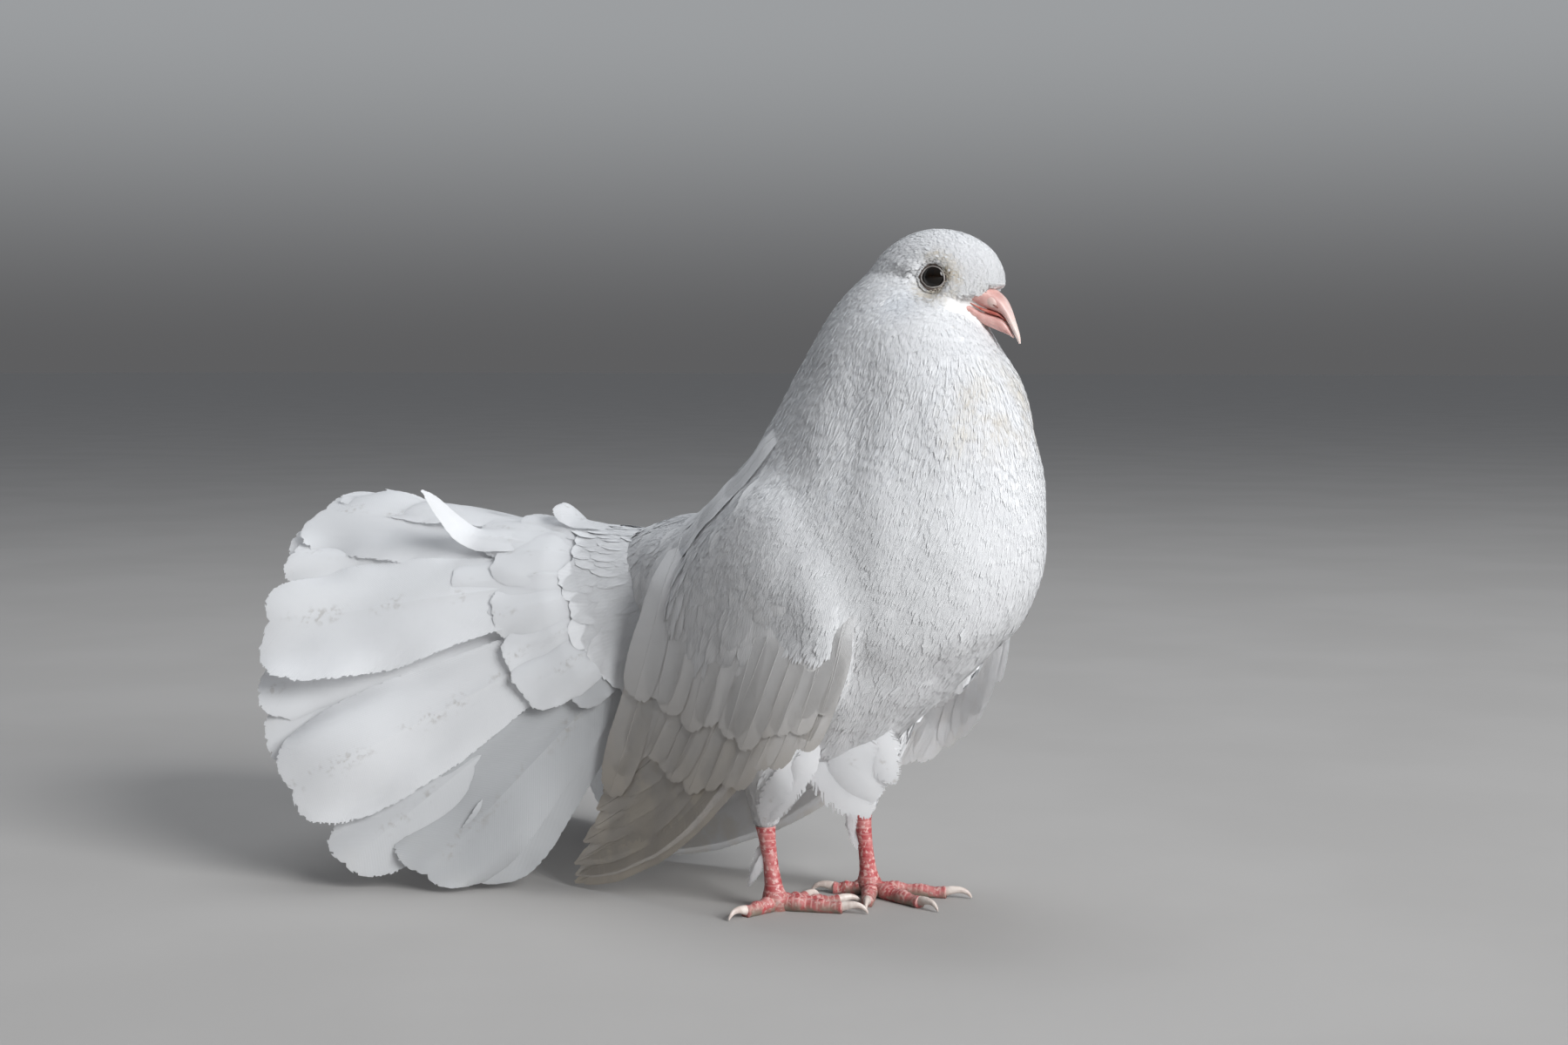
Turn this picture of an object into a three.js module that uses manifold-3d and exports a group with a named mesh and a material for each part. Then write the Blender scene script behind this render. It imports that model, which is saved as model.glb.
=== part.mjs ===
// A white fantail pigeon, standing, life size. Millimetres, +X the breast, +Y the bird's left, +Z up.
import * as THREE from 'three';
import { mergeVertices } from 'three/addons/utils/BufferGeometryUtils.js';
import Module from 'manifold-3d';

const wasm = await Module();
wasm.setup();

const GAP = 0.3; // between two pieces that touch
const FAR = 400; // reach of the blocks that cut the body
const RIGHT = -1;
const LEFT = 1;

// Level sections of the body with its plumage: height, back, front, half width.
const BODY_ROWS = [
  [46, -12, 6, 7],
  [52, -24, 17, 17],
  [62, -38, 28, 28],
  [77, -49, 46, 37],
  [92, -56, 61, 42],
  [104, -59, 74, 45],
  [118, -58, 81.5, 46],
  [138, -50, 84.5, 45],
  [163, -25, 82, 39],
  [188, -9.5, 75.5, 32.5],
  [204, 0, 66, 27.5],
  [214, 6, 60, 22.5],
  [223, 13.5, 53, 16.5],
  [230, 21, 45, 9],
];
const BODY_RINGS = 17;
const BODY_SIDES = 24;
const BODY_POWER = 2.15;
const NECK_BASE = 172; // height of the cut between torso and neck
const NECK_TOP = 203; // and between neck and head

// The tail's cone: its apex, and the dip of its axis below level.
const TAIL_ROOT = [-68, 0, 105];
const TAIL_DIP = 34;
const TAIL_OPEN_UP = 48.5; // half angle of the cone, up and down
const TAIL_OPEN_SIDE = 33; // and sideways
const TAIL_ROOT_HIGH = 28; // the ring round the apex that the feathers grow from
const TAIL_ROOT_WIDE = 19;
const TIP_REACH = [[0, 146], [30, 152], [60, 154], [90, 152], [110, 144], [180, 132]]; // turn, apex to tip
const TAIL_SWEEP = 121; // last feather's turn round the axis, from the top
const TAIL_STEP = TAIL_SWEEP / 8;
const TAIL_WIDEST = 1.35; // half width of a feather at most, in steps
const TAIL_SEAMS = [1.5, 4.5]; // where the fan is parted, in feathers from the middle
const TAIL_THICK = 0.6;
const TAIL_TILT = [0.23, 0.14]; // rise of a feather's outer edge over its shaft, at the root and the tip
const TAIL_CROWN = 0.2; // a feather's shaft stands this much over its edges
const TAIL_WAVES = 9; // of the ruffle, radians of wave over a feather
const TAIL_SETTLED = 0.6; // share of a covert's length where it has its full height
const TURN_STEP = 0.01;
const RUMP_END = -6; // the cut between rump and tail, along the axis
const RUMP_ROWS = [ // along the axis, half width, half height
  [-62, 28, 8],
  [-40, 32, 19],
  [-20, 29, 27],
  [RUMP_END, 24.5, 30],
];
const TAIL_STUB_ROWS = [
  [RUMP_END + GAP, 24.5, 30],
  [6, 23, 28],
  [18, 19, 22],
  [36, 10, 11],
];
const STUB_SIDES = 18;
const SLICE_SPAN = [-30, 60]; // the slices that part the stub: along the axis
const SLICE_REACH = 100; // and out from it
const SLICE_STEPS = 4;

// Outlines of a feather: share of its length, share of its half width.
const ROUND_FEATHER = [[0, 0.3], [0.4, 0.85], [0.8, 0.95], [1, 0.4]];
const LONG_FEATHER = [[0, 0.35], [0.4, 0.9], [0.75, 0.95], [1, 0.25]];
const FAN_FEATHER = [
  [0, 0.1], [0.3, 0.42], [0.55, 0.76], [0.78, 1], [0.91, 0.86], [0.975, 0.55], [1, 0.26],
];

// Feathers of the tail: the outermost's place, root and tip as shares of the fan, half width, height over
// the fan, ruffle of the raised edge.
const TAIL_TIERS = [
  { last: 8, outline: FAN_FEATHER, from: -0.04, reach: 1, shortened: 0.06, half: 25, lift: 0, frill: 1.8 },
  { last: 7, outline: ROUND_FEATHER, from: -0.06, reach: 0.44, shortened: 0.05, half: 11, lift: 5.2, frill: 0.5 },
];

// The wing in side view, as x and z: the upper and lower edge of its bony part, front to elbow.
const ARM_UPPER = [[4, 158], [-16, 146], [-38, 128], [-54, 106]];
const ARM_LOWER = [[37, 113], [28, 84], [-2, 66], [-40, 84]];
const ARM_LIFT = [0.3, 4.6]; // height of its outside over the feathers' bed, at its foot and its top
const ARM_FOOT_Z = 84;
const ARM_TOP_Z = 150;
const ARM_DEPTH = 17;
const ARM_ROWS = 6;
const ARM_COLUMNS = 5;
const WING_TIP_HALF = 28; // distance of the wing's outside from the bird's middle plane, at the tip
const WING_BULGE = 24; // how much further out it is amidships
const WING_BULGE_X = 15;
const WING_BULGE_SPREAD = 72;
const WING_TOP_Z = 115; // above this the wing leans in over the back
const WING_TOP_LEAN = 0.0046;
const WING_LAYERS = 4; // depth of the feathers under the wing's outside
const LEFT_SWAY = 20; // the left wing hangs this much further forward along its front and lower edge
const SWAY_X = [-92, 8]; // where that starts and is full
const SWAY_Z = [160, 100];

// Feathers of the wing, front to back: roots and tips in side view, half width, height of the root,
// rise along the feather, bow to the front, tilt of the front edge outwards.
const WING_TIERS = [
  {
    name: 'primaries', outline: LONG_FEATHER, count: 7, half: 9,
    base: -0.6, rise: 0.012, bow: 6, tilt: 0.13,
    roots: [[10, 72], [-16, 92]],
    tips: [[-92, 1.4], [-91, 8], [-86, 20], [-77, 38]],
  },
  {
    name: 'secondaries', outline: LONG_FEATHER, count: 9, half: 8.8,
    base: -0.2, rise: 0.068, bow: 1.5, tilt: 0.09,
    roots: [[34, 108], [12, 102], [-14, 110], [-42, 120]],
    tips: [[20, 67], [-2, 52], [-34, 53], [-56, 56], [-71, 40]],
  },
  {
    name: 'greater coverts', outline: ROUND_FEATHER, count: 7, half: 9.5,
    base: 0.9, rise: 0.078, bow: 1, tilt: 0.09,
    roots: [[33, 119], [8, 122], [-38, 134]],
    tips: [[29, 86], [2, 80], [-28, 84], [-56, 92]],
  },
  {
    name: 'median coverts', outline: ROUND_FEATHER, count: 6, half: 9.5,
    base: 2, rise: 0.085, bow: 0, tilt: 0.09,
    roots: [[24, 134], [2, 138], [-30, 147]],
    tips: [[30, 106], [2, 100], [-46, 112]],
  },
  {
    name: 'lesser coverts', outline: ROUND_FEATHER, count: 4, half: 9,
    base: 3, rise: 0.09, bow: 0, tilt: 0.08,
    roots: [[8, 152], [-12, 158]],
    tips: [[20, 123], [-30, 134]],
  },
];
const WING_FEATHER_THICK = 0.55;
const WING_CROWN = 0.3;

// The head: where its own frame sits, and its sections in that frame: x, half width, low, high.
const HEAD_PLACE = [46.3, 3, 225.5];
const HEAD_YAW = 7;
const HEAD_ROWS = [
  [-26, 6, -9, 4],
  [-20, 11.5, -15, 10.8],
  [-11, 14.6, -19, 15.8],
  [-2, 15.4, -20, 17.3],
  [7, 14.2, -19, 15.9],
  [13, 11.6, -16.5, 13.2],
  [17.5, 8.6, -12.5, 9.9],
  [20.4, 5.8, -8, 5.6],
  [22, 3, -4.6, 1.8],
];
const HEAD_SIDES = 18;
const HEAD_RINGS = 12;
const HEAD_POWER = 2.1;

// The bill in the head's frame: culmen x, z, then the edge of the mouth x, z, then half width.
const BILL_TOP_ROWS = [
  [15.5, -1.5, 9, -8.6, 4.6],
  [20.6, -4.8, 15.4, -11, 4.2],
  [23.6, -8.8, 19.6, -12.2, 3.4],
  [26.2, -13.2, 23.4, -14.8, 2.5],
  [28.5, -18.4, 26.2, -19.2, 1.5],
  [29, -22.6, 28.3, -22.8, 0.45],
];
const BILL_LOW_ROWS = [
  [9, -10.4, 10, -16.2, 4.1],
  [14.8, -12.4, 15, -17, 3.5],
  [19, -13.9, 19.2, -18.2, 2.8],
  [22.6, -16.4, 22.8, -20, 2.1],
  [25.6, -20.4, 25.8, -21.6, 1],
];
const BILL_SIDES = 12;
const CERE = { place: [19.2, 1.9, -4.9], radius: [3.1, 1.5, 1.7] };
const NOSTRIL = { place: [21.6, 3.2, -8.0], radius: [1.9, 0.9, 0.55] };
const GAPE = { from: [5.5, -9.3], to: [17, -11.4], depth: 4, open: 0.9 };

const EYE = { place: [1.3, 9.6, 0], radius: 5.2 };
const ORBIT = { out: 9, radius: [8.5, 5.2, 7] }; // the hollow of the face round the eye
const LID = { ring: 4.1, tube: 1.2, out: 3.2 };

// Legs: foot centre, the ankle's top, the thigh's top, then each toe's turn from +X, length and claw.
const ANKLE_Z = 30;
const LEGS = {
  right: {
    foot: [-8.9, -18], ankle: [-13.5, -18.5], thigh: [-7, -22],
    toes: { hind: [-102, 16, 8], inner: [78, 15, 7], middle: [45, 23, 8], outer: [19, 24, 9] },
  },
  left: {
    foot: [8, 20.4], ankle: [4.5, 19.5], thigh: [6, 23],
    toes: { hind: [202, 14, 8], inner: [-64, 20, 8], middle: [-19, 27, 9], outer: [21, 28, 9] },
  },
};
const THIGH_ROWS = [ // share of the way down, half length, half width
  [-0.5, 21, 15],
  [0, 19.5, 13.5],
  [0.35, 14.5, 11.5],
  [0.7, 8.6, 8],
  [1, 4.9, 4.6],
];
const THIGH_Z = 66;
const THIGH_SIDES = 14;
const SHANK_ROWS = [ // height, half length, half width
  [0, 4, 3.8],
  [4, 4.8, 4.5],
  [9, 3.3, 3.1],
  [17, 2.8, 2.6],
  [25, 3.1, 2.8],
  [ANKLE_Z - GAP, 3.7, 3.3],
];
const SHANK_SIDES = 12;
const TOE_SIDES = 8;
const TOE_KNUCKLES = 3;
const TOE_RADIUS = 2.9;
const TOE_TIP_RADIUS = 1.9;
const TOE_KNUCKLE = 1.05; // swelling at a joint
const TOE_WAIST = 0.88; // and between two
const TOE_SINK = 0.82; // height of its middle, in radii
const TOE_ROOT_LIFT = 1.6;
const CLAW_SIDES = 7;
const CLAW_RINGS = 5;
const CLAW_RADIUS = 1.3;
const CLAW_TIP_RADIUS = 0.12;
const CLAW_NARROW = 0.8;
const CLAW_BEND = [10, -75];
const CLAW_TURN = 1.35;
const CLAW_TAPER = 0.8;
const CLAW_DROP = 2.2;
const CLAW_TIP_Z = 0.25;
const CLAW_ARCH = 0.9;

const WHITE = new THREE.MeshStandardMaterial({ color: 0xeef0f2, roughness: 0.85 });
const BILL_PINK = new THREE.MeshStandardMaterial({ color: 0xd9a3a0, roughness: 0.5 });
const LEG_RED = new THREE.MeshStandardMaterial({ color: 0xc0454e, roughness: 0.6 });
const HORN = new THREE.MeshStandardMaterial({ color: 0xcfc0b0, roughness: 0.45 });
const EYE_DARK = new THREE.MeshStandardMaterial({ color: 0x140d0a, roughness: 0.08 });

const vec = (x, y, z) => new THREE.Vector3(x, y, z);
const radians = THREE.MathUtils.degToRad;
const mix = THREE.MathUtils.lerp;
const mixed = (one, other, share) => one.map((value, k) => mix(value, other[k], share));
const clamp = THREE.MathUtils.clamp;
const UP = vec(0, 0, 1);
const SIDE = vec(0, 1, 0);
const FORWARD = vec(1, 0, 0);

// A three.js geometry as a solid, turned to face out.
function solid(geometry) {
  const bare = geometry.clone();
  bare.deleteAttribute('normal');
  bare.deleteAttribute('uv');
  const merged = mergeVertices(bare, 1e-4);
  const made = (triVerts) => new wasm.Manifold(new wasm.Mesh({
    numProp: 3, vertProperties: merged.attributes.position.array, triVerts,
  }));
  const triangles = new Uint32Array(merged.index.array);
  const first = made(triangles);
  return first.volume() > 0 ? first : made(triangles.slice().reverse());
}

function skinned(points, index) {
  const geometry = new THREE.BufferGeometry().setFromPoints(points);
  geometry.setIndex(index);
  return solid(geometry);
}

// Rings of equal count joined along their length, with a fan of triangles over each end.
function loft(rings) {
  const sides = rings[0].length;
  const middle = (ring) => ring.reduce((sum, point) => sum.add(point), vec(0, 0, 0)).divideScalar(sides);
  const points = [...rings.flat(), middle(rings[0]), middle(rings.at(-1))];
  const index = [];
  for (let ring = 0; ring < rings.length - 1; ring++) {
    for (let side = 0; side < sides; side++) {
      const next = (side + 1) % sides;
      const [a, b] = [ring * sides + side, ring * sides + next];
      index.push(a, b, b + sides, a, b + sides, a + sides);
    }
  }
  const lastRing = (rings.length - 1) * sides;
  for (let side = 0; side < sides; side++) {
    const next = (side + 1) % sides;
    index.push(next, side, points.length - 2);
    index.push(lastRing + side, lastRing + next, points.length - 1);
  }
  return skinned(points, index);
}

// A ring of points, round for power 2 and squarer above it.
function ring(centre, across, up, halfAcross, halfUp, sides, power = 2) {
  const reach = (value) => Math.sign(value) * Math.abs(value) ** (2 / power);
  return Array.from({ length: sides }, (_, side) => {
    const turn = (2 * Math.PI * side) / sides;
    return centre.clone()
      .addScaledVector(across, halfAcross * reach(Math.cos(turn)))
      .addScaledVector(up, halfUp * reach(Math.sin(turn)));
  });
}

// Catmull-Rom through rows of numbers, t from 0 to 1.
function through(rows, t) {
  const last = rows.length - 1;
  const place = Math.min(t * last, last - 1e-9);
  const start = Math.floor(place);
  const u = place - start;
  const [p0, p1, p2, p3] = [start - 1, start, start + 1, start + 2]
    .map((row) => rows[clamp(row, 0, last)]);
  return p1.map((_, k) => 0.5 * (2 * p1[k] + (p2[k] - p0[k]) * u
    + (2 * p0[k] - 5 * p1[k] + 4 * p2[k] - p3[k]) * u ** 2
    + (3 * p1[k] - p0[k] - 3 * p2[k] + p3[k]) * u ** 3));
}

const steps = (count) => Array.from({ length: count + 1 }, (_, step) => step / count);

// A closed sheet from pairs of points, outside and inside, with the same triangles on both faces.
function sheet(pair, rows, columns) {
  const outer = [];
  const inner = [];
  for (const u of steps(rows)) {
    for (const v of steps(columns)) {
      const [out, into] = pair(u, v);
      outer.push(out);
      inner.push(into);
    }
  }
  const across = columns + 1;
  const under = outer.length;
  const index = [];
  for (let row = 0; row < rows; row++) {
    for (let column = 0; column < columns; column++) {
      const a = row * across + column;
      const corners = [a, a + 1, a + across + 1, a, a + across + 1, a + across];
      index.push(...corners, ...corners.map((corner) => corner + under).reverse());
    }
  }
  const rim = [];
  for (let column = 0; column < columns; column++) rim.push(column);
  for (let row = 0; row < rows; row++) rim.push(row * across + columns);
  for (let column = columns; column > 0; column--) rim.push(rows * across + column);
  for (let row = rows; row > 0; row--) rim.push(row * across);
  rim.forEach((a, place) => {
    const b = rim[(place + 1) % rim.length];
    index.push(b, a, a + under, b, a + under, b + under);
  });
  return skinned([...outer, ...inner], index);
}

const fuse = (shapes) => wasm.Manifold.union(shapes);

// The largest closed surface of a solid.
const larger = (one, other) => (other.volume() > one.volume() ? other : one);
const largest = (shape) => shape.decompose().reduce(larger);

function block(low, high) {
  const size = high.clone().sub(low);
  const box = new THREE.BoxGeometry(size.x, size.y, size.z);
  box.translate(...low.clone().add(high).divideScalar(2).toArray());
  return solid(box);
}

const levels = (from, to) => block(vec(-FAR, -FAR, from), vec(FAR, FAR, to));

function ellipsoid(place, radius, toWorld = (point) => point) {
  const ball = new THREE.SphereGeometry(1, 10, 7);
  ball.scale(...radius);
  ball.translate(...place);
  const spots = ball.attributes.position;
  for (let spot = 0; spot < spots.count; spot++) {
    const moved = toWorld(vec(spots.getX(spot), spots.getY(spot), spots.getZ(spot)));
    spots.setXYZ(spot, moved.x, moved.y, moved.z);
  }
  return solid(ball);
}

// Body: level rings, grown by the clearance that a neighbour keeps.
function bodyLoft(grow) {
  return loft(steps(BODY_RINGS).map((t) => {
    const [z, back, front, half] = through(BODY_ROWS, t);
    const centre = vec((back + front) / 2, 0, z + grow * (2 * t - 1));
    return ring(centre, FORWARD, SIDE, (front - back) / 2 + grow, half + grow, BODY_SIDES, BODY_POWER);
  }));
}

// The tail's own frame: back along the axis, up across it, and sideways.
const DIP = radians(TAIL_DIP);
const TAIL_BACK = vec(-Math.cos(DIP), 0, -Math.sin(DIP));
const TAIL_UP = vec(-Math.sin(DIP), 0, Math.cos(DIP));
const tailPlace = (back) => vec(...TAIL_ROOT).addScaledVector(TAIL_BACK, back);

function tailTube(rows, grow) {
  return loft(rows.map(([back, half, high]) => ring(
    tailPlace(back), SIDE, TAIL_UP, half + grow, high + grow, STUB_SIDES,
  )));
}

const bodyShape = (grow) => fuse([bodyLoft(grow), tailTube(RUMP_ROWS, grow)]);
const wholeBody = bodyShape(0);
const aroundBody = bodyShape(GAP);
const floorUp = levels(0, FAR);

// The head's own frame.
const headTurn = new THREE.Matrix4().makeRotationZ(radians(HEAD_YAW)).setPosition(...HEAD_PLACE);
const inHead = (point) => point.clone().applyMatrix4(headTurn);

function headLoft() {
  return loft(steps(HEAD_RINGS).map((t) => {
    const [x, half, low, high] = through(HEAD_ROWS, t);
    return ring(vec(x, 0, (low + high) / 2), SIDE, UP, half, (high - low) / 2, HEAD_SIDES, HEAD_POWER)
      .map(inHead);
  }));
}

// A half bill: each ring spans from one edge line to the other, rounded on the side of the first.
function billLoft(rows, grow) {
  return loft(rows.map(([x, z, edgeX, edgeZ, half], row) => {
    const top = vec(x, 0, z);
    const edge = vec(edgeX, 0, edgeZ);
    const up = top.clone().sub(edge).normalize();
    const middle = top.clone().add(edge).divideScalar(2);
    const high = top.distanceTo(edge) / 2 + grow;
    return ring(middle, SIDE, up, half + grow, high, BILL_SIDES, 2.4)
      .map((point) => inHead(point.addScaledVector(FORWARD, row === 0 ? -grow : 0)));
  }));
}

const sides = { left: LEFT, right: RIGHT };

function eyeBall(side, grow) {
  const [x, y, z] = EYE.place;
  const radius = EYE.radius + grow;
  return ellipsoid([x, y * side, z], [radius, radius, radius], inHead);
}

function lidRing(side) {
  const torus = new THREE.TorusGeometry(LID.ring, LID.tube, 5, 14);
  torus.rotateX(Math.PI / 2);
  torus.translate(EYE.place[0], side * (EYE.place[1] + LID.out), EYE.place[2]);
  torus.applyMatrix4(headTurn);
  return solid(torus);
}

// A thin slit back from the bill to the corner of the mouth.
function gapeCut(side) {
  const [backX, backZ] = GAPE.from;
  const [frontX, frontZ] = GAPE.to;
  const corner = (x, z, out) => inHead(vec(x, side * out, z));
  const end = (x, z, inside) => [
    corner(x, z + GAPE.open / 2, 30), corner(x, z - GAPE.open / 2, 30),
    corner(x, z - GAPE.open / 2, inside), corner(x, z + GAPE.open / 2, inside),
  ];
  return loft([end(backX, backZ, 11.5), end(frontX, frontZ, GAPE.depth)]);
}

function orbit(side) {
  const [x, y, z] = EYE.place;
  return ellipsoid([x, side * (y + ORBIT.out), z], ORBIT.radius, inHead);
}

function head() {
  const hollowed = headLoft().subtract(fuse([orbit(LEFT), orbit(RIGHT)]));
  const whole = fuse([hollowed, bodyLoft(0), lidRing(LEFT), lidRing(RIGHT)])
    .intersect(levels(NECK_TOP + GAP / 2, FAR));
  const cuts = [
    billUpperForm(GAP), billLoft(BILL_LOW_ROWS, GAP),
    eyeBall(LEFT, GAP), eyeBall(RIGHT, GAP), gapeCut(LEFT), gapeCut(RIGHT),
  ];
  return whole.subtract(fuse(cuts));
}

function billUpperForm(grow) {
  const [x, y, z] = CERE.place;
  const radius = CERE.radius.map((half) => half + grow);
  const bumps = Object.values(sides).map((side) => ellipsoid([x, side * y, z], radius, inHead));
  return fuse([billLoft(BILL_TOP_ROWS, grow), ...bumps]);
}

function billUpper() {
  const slits = Object.values(sides).map((side) => {
    const [x, y, z] = NOSTRIL.place;
    return ellipsoid([x, side * y, z], NOSTRIL.radius, inHead);
  });
  return billUpperForm(0).subtract(fuse(slits));
}

// Wing: distance of its outside from the middle plane at a place in side view.
function wingHalf(x, z) {
  const bulge = WING_BULGE * Math.exp(-(((x - WING_BULGE_X) / WING_BULGE_SPREAD) ** 2));
  return WING_TIP_HALF + bulge - WING_TOP_LEAN * Math.max(0, z - WING_TOP_Z) ** 2;
}

// A place on a wing, lifted from the bed of its feathers, with the left wing's sway.
function wingPlace(name, x, z, lift) {
  const forward = clamp((x - SWAY_X[0]) / (SWAY_X[1] - SWAY_X[0]), 0, 1);
  const low = clamp((z - SWAY_Z[0]) / (SWAY_Z[1] - SWAY_Z[0]), 0, 1);
  const sway = name === 'left' ? LEFT_SWAY * forward * low : 0;
  return vec(x + sway, sides[name] * (wingHalf(x, z) - WING_LAYERS + lift), z);
}

// A feather: an outline laid on a surface, place(share of length, share across, rise at that edge).
function feather(outline, place, thick) {
  const rows = outline.length - 1;
  return sheet((u, v) => {
    const [along, width] = outline[Math.round(u * rows)];
    return [thick / 2, -thick / 2].map((rise) => place(along, (2 * v - 1) * width, rise));
  }, rows, 2);
}

function wingFeather(name, tier, share) {
  const [rootX, rootZ] = through(tier.roots, share);
  const [tipX, tipZ] = through(tier.tips, share);
  const [runX, runZ] = [tipX - rootX, tipZ - rootZ];
  const length = Math.hypot(runX, runZ);
  const [frontX, frontZ] = [-runZ / length, runX / length];
  return feather(tier.outline, (along, across, rise) => {
    const out = across * tier.half + 4 * tier.bow * along * (1 - along);
    const crown = WING_CROWN * (1 - Math.abs(across));
    const lift = tier.base + tier.rise * length * along + tier.tilt * tier.half * across + crown + rise;
    return wingPlace(name, rootX + runX * along + frontX * out, rootZ + runZ * along + frontZ * out, lift);
  }, WING_FEATHER_THICK);
}

function arm(name) {
  return sheet((u, v) => {
    const [upperX, upperZ] = through(ARM_UPPER, u);
    const [lowerX, lowerZ] = through(ARM_LOWER, u);
    const [x, z] = [mix(upperX, lowerX, v), mix(upperZ, lowerZ, v)];
    const high = clamp((z - ARM_FOOT_Z) / (ARM_TOP_Z - ARM_FOOT_Z), 0, 1);
    return [mix(...ARM_LIFT, high), -ARM_DEPTH].map((lift) => wingPlace(name, x, z, lift));
  }, ARM_ROWS, ARM_COLUMNS);
}

function wing(name) {
  const feathers = WING_TIERS.flatMap((tier) => steps(tier.count - 1)
    .map((share) => wingFeather(name, tier, share)));
  return fuse([arm(name), ...feathers]);
}

// Tail: the way a feather points at a turn round the axis, and the outward normal of the cone there.
function tailAim(turn) {
  const up = Math.tan(radians(TAIL_OPEN_UP)) * Math.cos(turn);
  const out = Math.tan(radians(TAIL_OPEN_SIDE)) * Math.sin(turn);
  return TAIL_BACK.clone().addScaledVector(TAIL_UP, up).addScaledVector(SIDE, out).normalize();
}

function tailNormal(turn) {
  const along = tailAim(turn + TURN_STEP).sub(tailAim(turn - TURN_STEP));
  return along.cross(tailAim(turn)).normalize();
}

function tipReach(turn) {
  const degrees = Math.abs(THREE.MathUtils.radToDeg(turn));
  const next = TIP_REACH.findIndex(([end]) => end >= degrees);
  const [[from, near], [to, far]] = [TIP_REACH[Math.max(next - 1, 0)], TIP_REACH[next]];
  return to > from ? mix(near, far, (degrees - from) / (to - from)) : far;
}

// A place on the fan: its turn, and its share of the way from the root ring to the tips.
function fanPlace(turn, share) {
  const root = vec(...TAIL_ROOT)
    .addScaledVector(TAIL_UP, TAIL_ROOT_HIGH * Math.cos(turn))
    .addScaledVector(SIDE, TAIL_ROOT_WIDE * Math.sin(turn));
  const tip = vec(...TAIL_ROOT).addScaledVector(tailAim(turn), tipReach(turn));
  return root.lerp(tip, share);
}

// Millimetres round the fan for a radian of turn.
const fanRadius = (turn, share) => (
  fanPlace(turn + TURN_STEP, share).distanceTo(fanPlace(turn - TURN_STEP, share)) / (2 * TURN_STEP)
);

// One feather, laid along the fan's curve. Its edge away from the middle rises over the next feather.
function tailFeather(place, tier) {
  const turn = radians(place * TAIL_STEP);
  const reach = tier.reach - (Math.round(place) % 2 ? tier.shortened : 0);
  return feather(tier.outline, (along, side, rise) => {
    const share = mix(tier.from, reach, along);
    const radius = fanRadius(turn, share);
    const out = side * Math.min(tier.half, TAIL_WIDEST * radians(TAIL_STEP) * radius);
    const here = turn + out / radius;
    const away = place === 0 ? Math.abs(out) : out * Math.sign(place);
    const tilt = mix(...TAIL_TILT, share);
    const frill = away > 0 ? tier.frill * Math.sin(TAIL_WAVES * along + place) ** 2 * along ** 2 : 0;
    const crown = TAIL_CROWN * (1 - Math.abs(side)) * along;
    const settle = 0.5 * tier.lift * Math.max(0, 1 - along / TAIL_SETTLED) ** 2;
    const lift = tier.lift + rise + crown + tilt * away + frill - settle;
    return fanPlace(here, share).addScaledVector(tailNormal(here), lift);
  }, TAIL_THICK);
}

// A pie slice of space round the tail's axis, moved out by half the gap to its neighbours.
function tailSlice(fromTurn, toTurn, shift) {
  const middle = radians((fromTurn + toTurn) / 2);
  const outward = (turn) => vec(0, 0, 0)
    .addScaledVector(TAIL_UP, Math.cos(turn)).addScaledVector(SIDE, Math.sin(turn));
  const rim = steps(SLICE_STEPS).map((t) => (
    outward(radians(mix(fromTurn, toTurn, t))).multiplyScalar(SLICE_REACH)));
  const end = (back) => [vec(0, 0, 0), ...rim].map((spoke) => spoke.clone()
    .add(tailPlace(back)).addScaledVector(outward(middle), shift));
  return loft(SLICE_SPAN.map(end));
}

const [UPPER_SEAM, LOWER_SEAM] = TAIL_SEAMS;
const TAIL_PARTS = { // the feathers between two seams, in feathers from the middle, the left side positive
  tail_middle: [-UPPER_SEAM, UPPER_SEAM],
  tail_upper_left: [UPPER_SEAM, LOWER_SEAM],
  tail_upper_right: [-LOWER_SEAM, -UPPER_SEAM],
  tail_lower_left: [LOWER_SEAM, 180 / TAIL_STEP],
  tail_lower_right: [-180 / TAIL_STEP, -LOWER_SEAM],
};

function tailPart(name) {
  const [from, to] = TAIL_PARTS[name];
  const slice = ([start, end], way) => tailSlice(start * TAIL_STEP, end * TAIL_STEP,
    (way * GAP) / 2 / Math.sin(radians(((end - start) * TAIL_STEP) / 2)));
  const stub = tailTube(TAIL_STUB_ROWS, 0);
  const others = Object.entries(TAIL_PARTS).filter(([other]) => other !== name)
    .map(([, span]) => stub.intersect(slice(span, -1)));
  const feathers = TAIL_TIERS.flatMap((tier) => {
    const places = Array.from({ length: 2 * tier.last + 1 }, (_, k) => k - tier.last);
    return places.filter((place) => place > from && place < to).map((place) => tailFeather(place, tier));
  });
  return fuse([stub.intersect(slice([from, to], 1)), fuse(feathers).subtract(fuse(others))]);
}

// Legs
function thigh(side, grow) {
  const { ankle, thigh: top } = LEGS[side];
  return loft(THIGH_ROWS.map(([share, long, wide], row) => {
    const below = row === THIGH_ROWS.length - 1 ? grow : 0;
    const centre = vec(...mixed([...top, THIGH_Z], [...ankle, ANKLE_Z - below], share));
    return ring(centre, FORWARD, SIDE, long + grow, wide + grow, THIGH_SIDES);
  }));
}

// The way a toe points, and across it, both level.
function toeAim(turn) {
  const along = vec(Math.cos(radians(turn)), Math.sin(radians(turn)), 0);
  return [along, vec(-along.y, along.x, 0)];
}

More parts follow.
